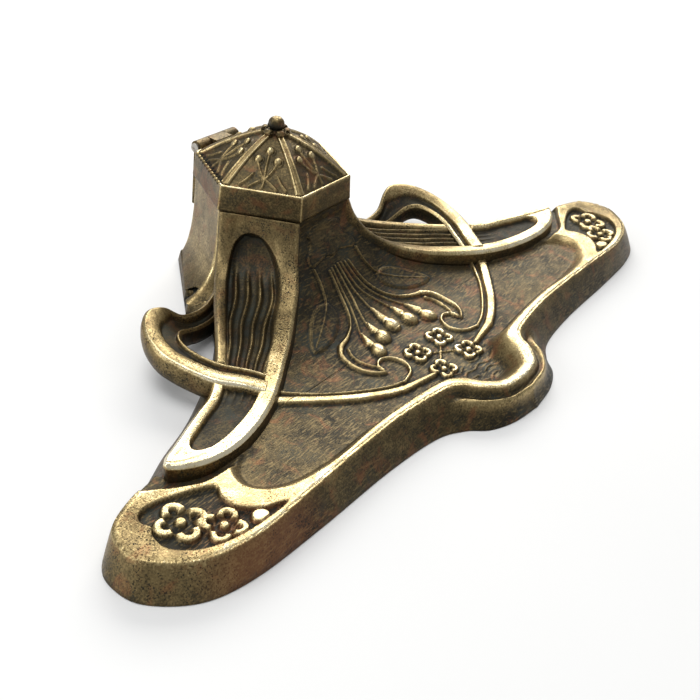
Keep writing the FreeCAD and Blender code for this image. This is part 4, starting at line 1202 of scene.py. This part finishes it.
def drawn_steel():
    s = Shader("drawn_steel")
    lines = s.noise(0.5, 3, 0.5, stretch=(0.1, 1, 1))
    stain = s.noise(2.0, 4, 0.6)
    colour = s.mix(s.above(stain, 0.45, 0.7), (0.42, 0.40, 0.36), (0.14, 0.10, 0.07))
    rough = s.ramp(lines, [(0.3, 0.28), (0.7, 0.5)])
    return s.set(colour=colour, metallic=1.0, roughness=rough, normal=s.bump(lines, 0.3, 0.03))


def clear_glass():
    s = Shader("pressed_glass")
    ripple = s.noise(4.0, 2, 0.4)
    seeds = s.noise(1.5, 2, 0.5)
    colour = s.mix(s.above(seeds, 0.3, 0.8), (0.86, 0.93, 0.90), (0.95, 0.98, 0.97))
    return s.set(colour=colour, roughness=0.06, transmission=1.0, ior=1.48, normal=s.bump(ripple, 0.25, 0.15))


def pad_felt():
    s = Shader("pad_felt")
    fibre = s.noise(0.35, 5, 0.7)
    blotch = s.noise(4.0, 3, 0.6)
    colour = s.mix(s.above(blotch, 0.3, 0.7), (0.030, 0.055, 0.030), (0.055, 0.075, 0.040))
    rough = s.ramp(fibre, [(0.2, 0.85), (0.8, 1.0)])
    return s.set(colour=colour, roughness=rough, sheen=0.4, normal=s.bump(fibre, 0.8, 0.2))


def dress_cad(names, material):
    """CAD nodes that are shown as they are, in a material of their own."""
    for name in names:
        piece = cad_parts[name]
        piece.data.materials.clear()
        piece.data.materials.append(material)


# ---- stage

def make_floor():
    s = Shader("studio_paper")
    cloud = s.noise(90, 2, 0.5)
    colour = s.mix(cloud, (0.86, 0.86, 0.855), (0.885, 0.885, 0.88))
    s.set(colour=colour, roughness=0.9)
    reach = 8.0
    mesh = bpy.data.meshes.new("studio_floor")
    corners = [(-reach, -reach), (reach, -reach), (reach, reach), (-reach, reach)]
    mesh.from_pydata([(x, y, -0.0002) for x, y in corners], [], [(0, 1, 2, 3)])
    mesh.materials.append(s.material)
    floor = bpy.data.objects.new("studio_floor", mesh)
    bpy.context.scene.collection.objects.link(floor)


def add_light(name, spot, aim, size, power, colour):
    data = bpy.data.lights.new(name, "AREA")
    data.shape = "RECTANGLE"
    data.size, data.size_y = size
    data.energy = power
    data.color = colour
    lamp = bpy.data.objects.new(name, data)
    lamp.location = spot
    direction = Vector(aim) - Vector(spot)
    lamp.rotation_euler = direction.to_track_quat("-Z", "Y").to_euler()
    bpy.context.scene.collection.objects.link(lamp)


LIGHTS = [
    ("key_soft", (0.75, 0.55, 0.62), (0, 0, 0), (0.9, 0.5), 8.5, (1.0, 0.98, 0.94)),
    ("top_soft", (-0.15, 0.25, 1.0), (0, 0, 0), (0.7, 0.7), 4.6, (1, 1, 1)),
    ("left_fill", (-0.8, 0.45, 0.40), (0, 0, 0.02), (0.4, 0.5), 2.6, (0.96, 0.98, 1.0)),
]


def make_lights():
    """Window light from behind the object, and a softer light from above."""
    for name, spot, aim, size, power, colour in LIGHTS:
        add_light(name, spot, aim, size, power, colour)
    world = bpy.data.worlds.new("studio_world")
    world.use_nodes = True
    world.node_tree.nodes["Background"].inputs[0].default_value = (0.95, 0.96, 0.97, 1)
    world.node_tree.nodes["Background"].inputs[1].default_value = 0.45
    bpy.context.scene.world = world
    bpy.context.scene.view_settings.view_transform = "Standard"


CAMERA_SPOT = (-0.23781, -0.14284, 0.17486)
CAMERA_AZIMUTH = 31.217     # where it looks, in degrees from +X towards +Y
CAMERA_FALL = 34.008        # how far it looks down, in degrees
CAMERA_ROLL = 8.355         # how far it is turned about its own axis, in degrees
CAMERA_LENS = 53.39         # in millimetres


def make_camera():
    """Camera to the writer's left, looking down across the tray."""
    data = bpy.data.cameras.new("photo_view")
    data.sensor_width = 36.0
    data.lens = CAMERA_LENS
    data.clip_start = 0.01
    data.clip_end = 20
    camera = bpy.data.objects.new("photo_view", data)
    turn = (Matrix.Rotation(math.radians(CAMERA_AZIMUTH - 90), 4, "Z")
            @ Matrix.Rotation(math.radians(90 - CAMERA_FALL), 4, "X")
            @ Matrix.Rotation(math.radians(CAMERA_ROLL), 4, "Z"))
    camera.matrix_world = Matrix.Translation(Vector(CAMERA_SPOT)) @ turn
    bpy.context.scene.collection.objects.link(camera)
    bpy.context.scene.camera = camera


def build():
    cast = aged_brass("cast_brass", pits=0.34, hatch=0.55, red=0.32, copper_spot=(-99, -47, 3))
    band = aged_brass("leaf_brass", pits=0.50, hatch=0.15, red=0.18)
    dome = aged_brass("lid_brass", pits=0.24, hatch=0.10, red=0.30)
    plain = aged_brass("fitting_brass", base_wear=0.44, pits=0.3, hatch=0.1, red=0.2)
    make_tray(cast)
    make_apron(cast)
    make_housing(dome)
    make_pairs("leaf_frame", leaf_shape(), band, ["leaf_right", "leaf_left"])
    make_pairs("strap_loop", strap_shape(), band, ["strap_right", "strap_left"])
    make_lid(dome)
    make_finial(dome)
    dress_cad(["hinge_plate", "hinge_rivet_left", "hinge_rivet_right", "lid_knuckle"], plain)
    screws = ["housing_screw_" + a + "_" + b for a in ("front", "rear") for b in ("left", "right")]
    dress_cad(screws, plain)
    dress_cad(["hinge_pin"], drawn_steel())
    dress_cad(["glass_liner"], clear_glass())
    dress_cad(["liner_pad"], pad_felt())
    make_floor()
    make_lights()
    make_camera()


build()
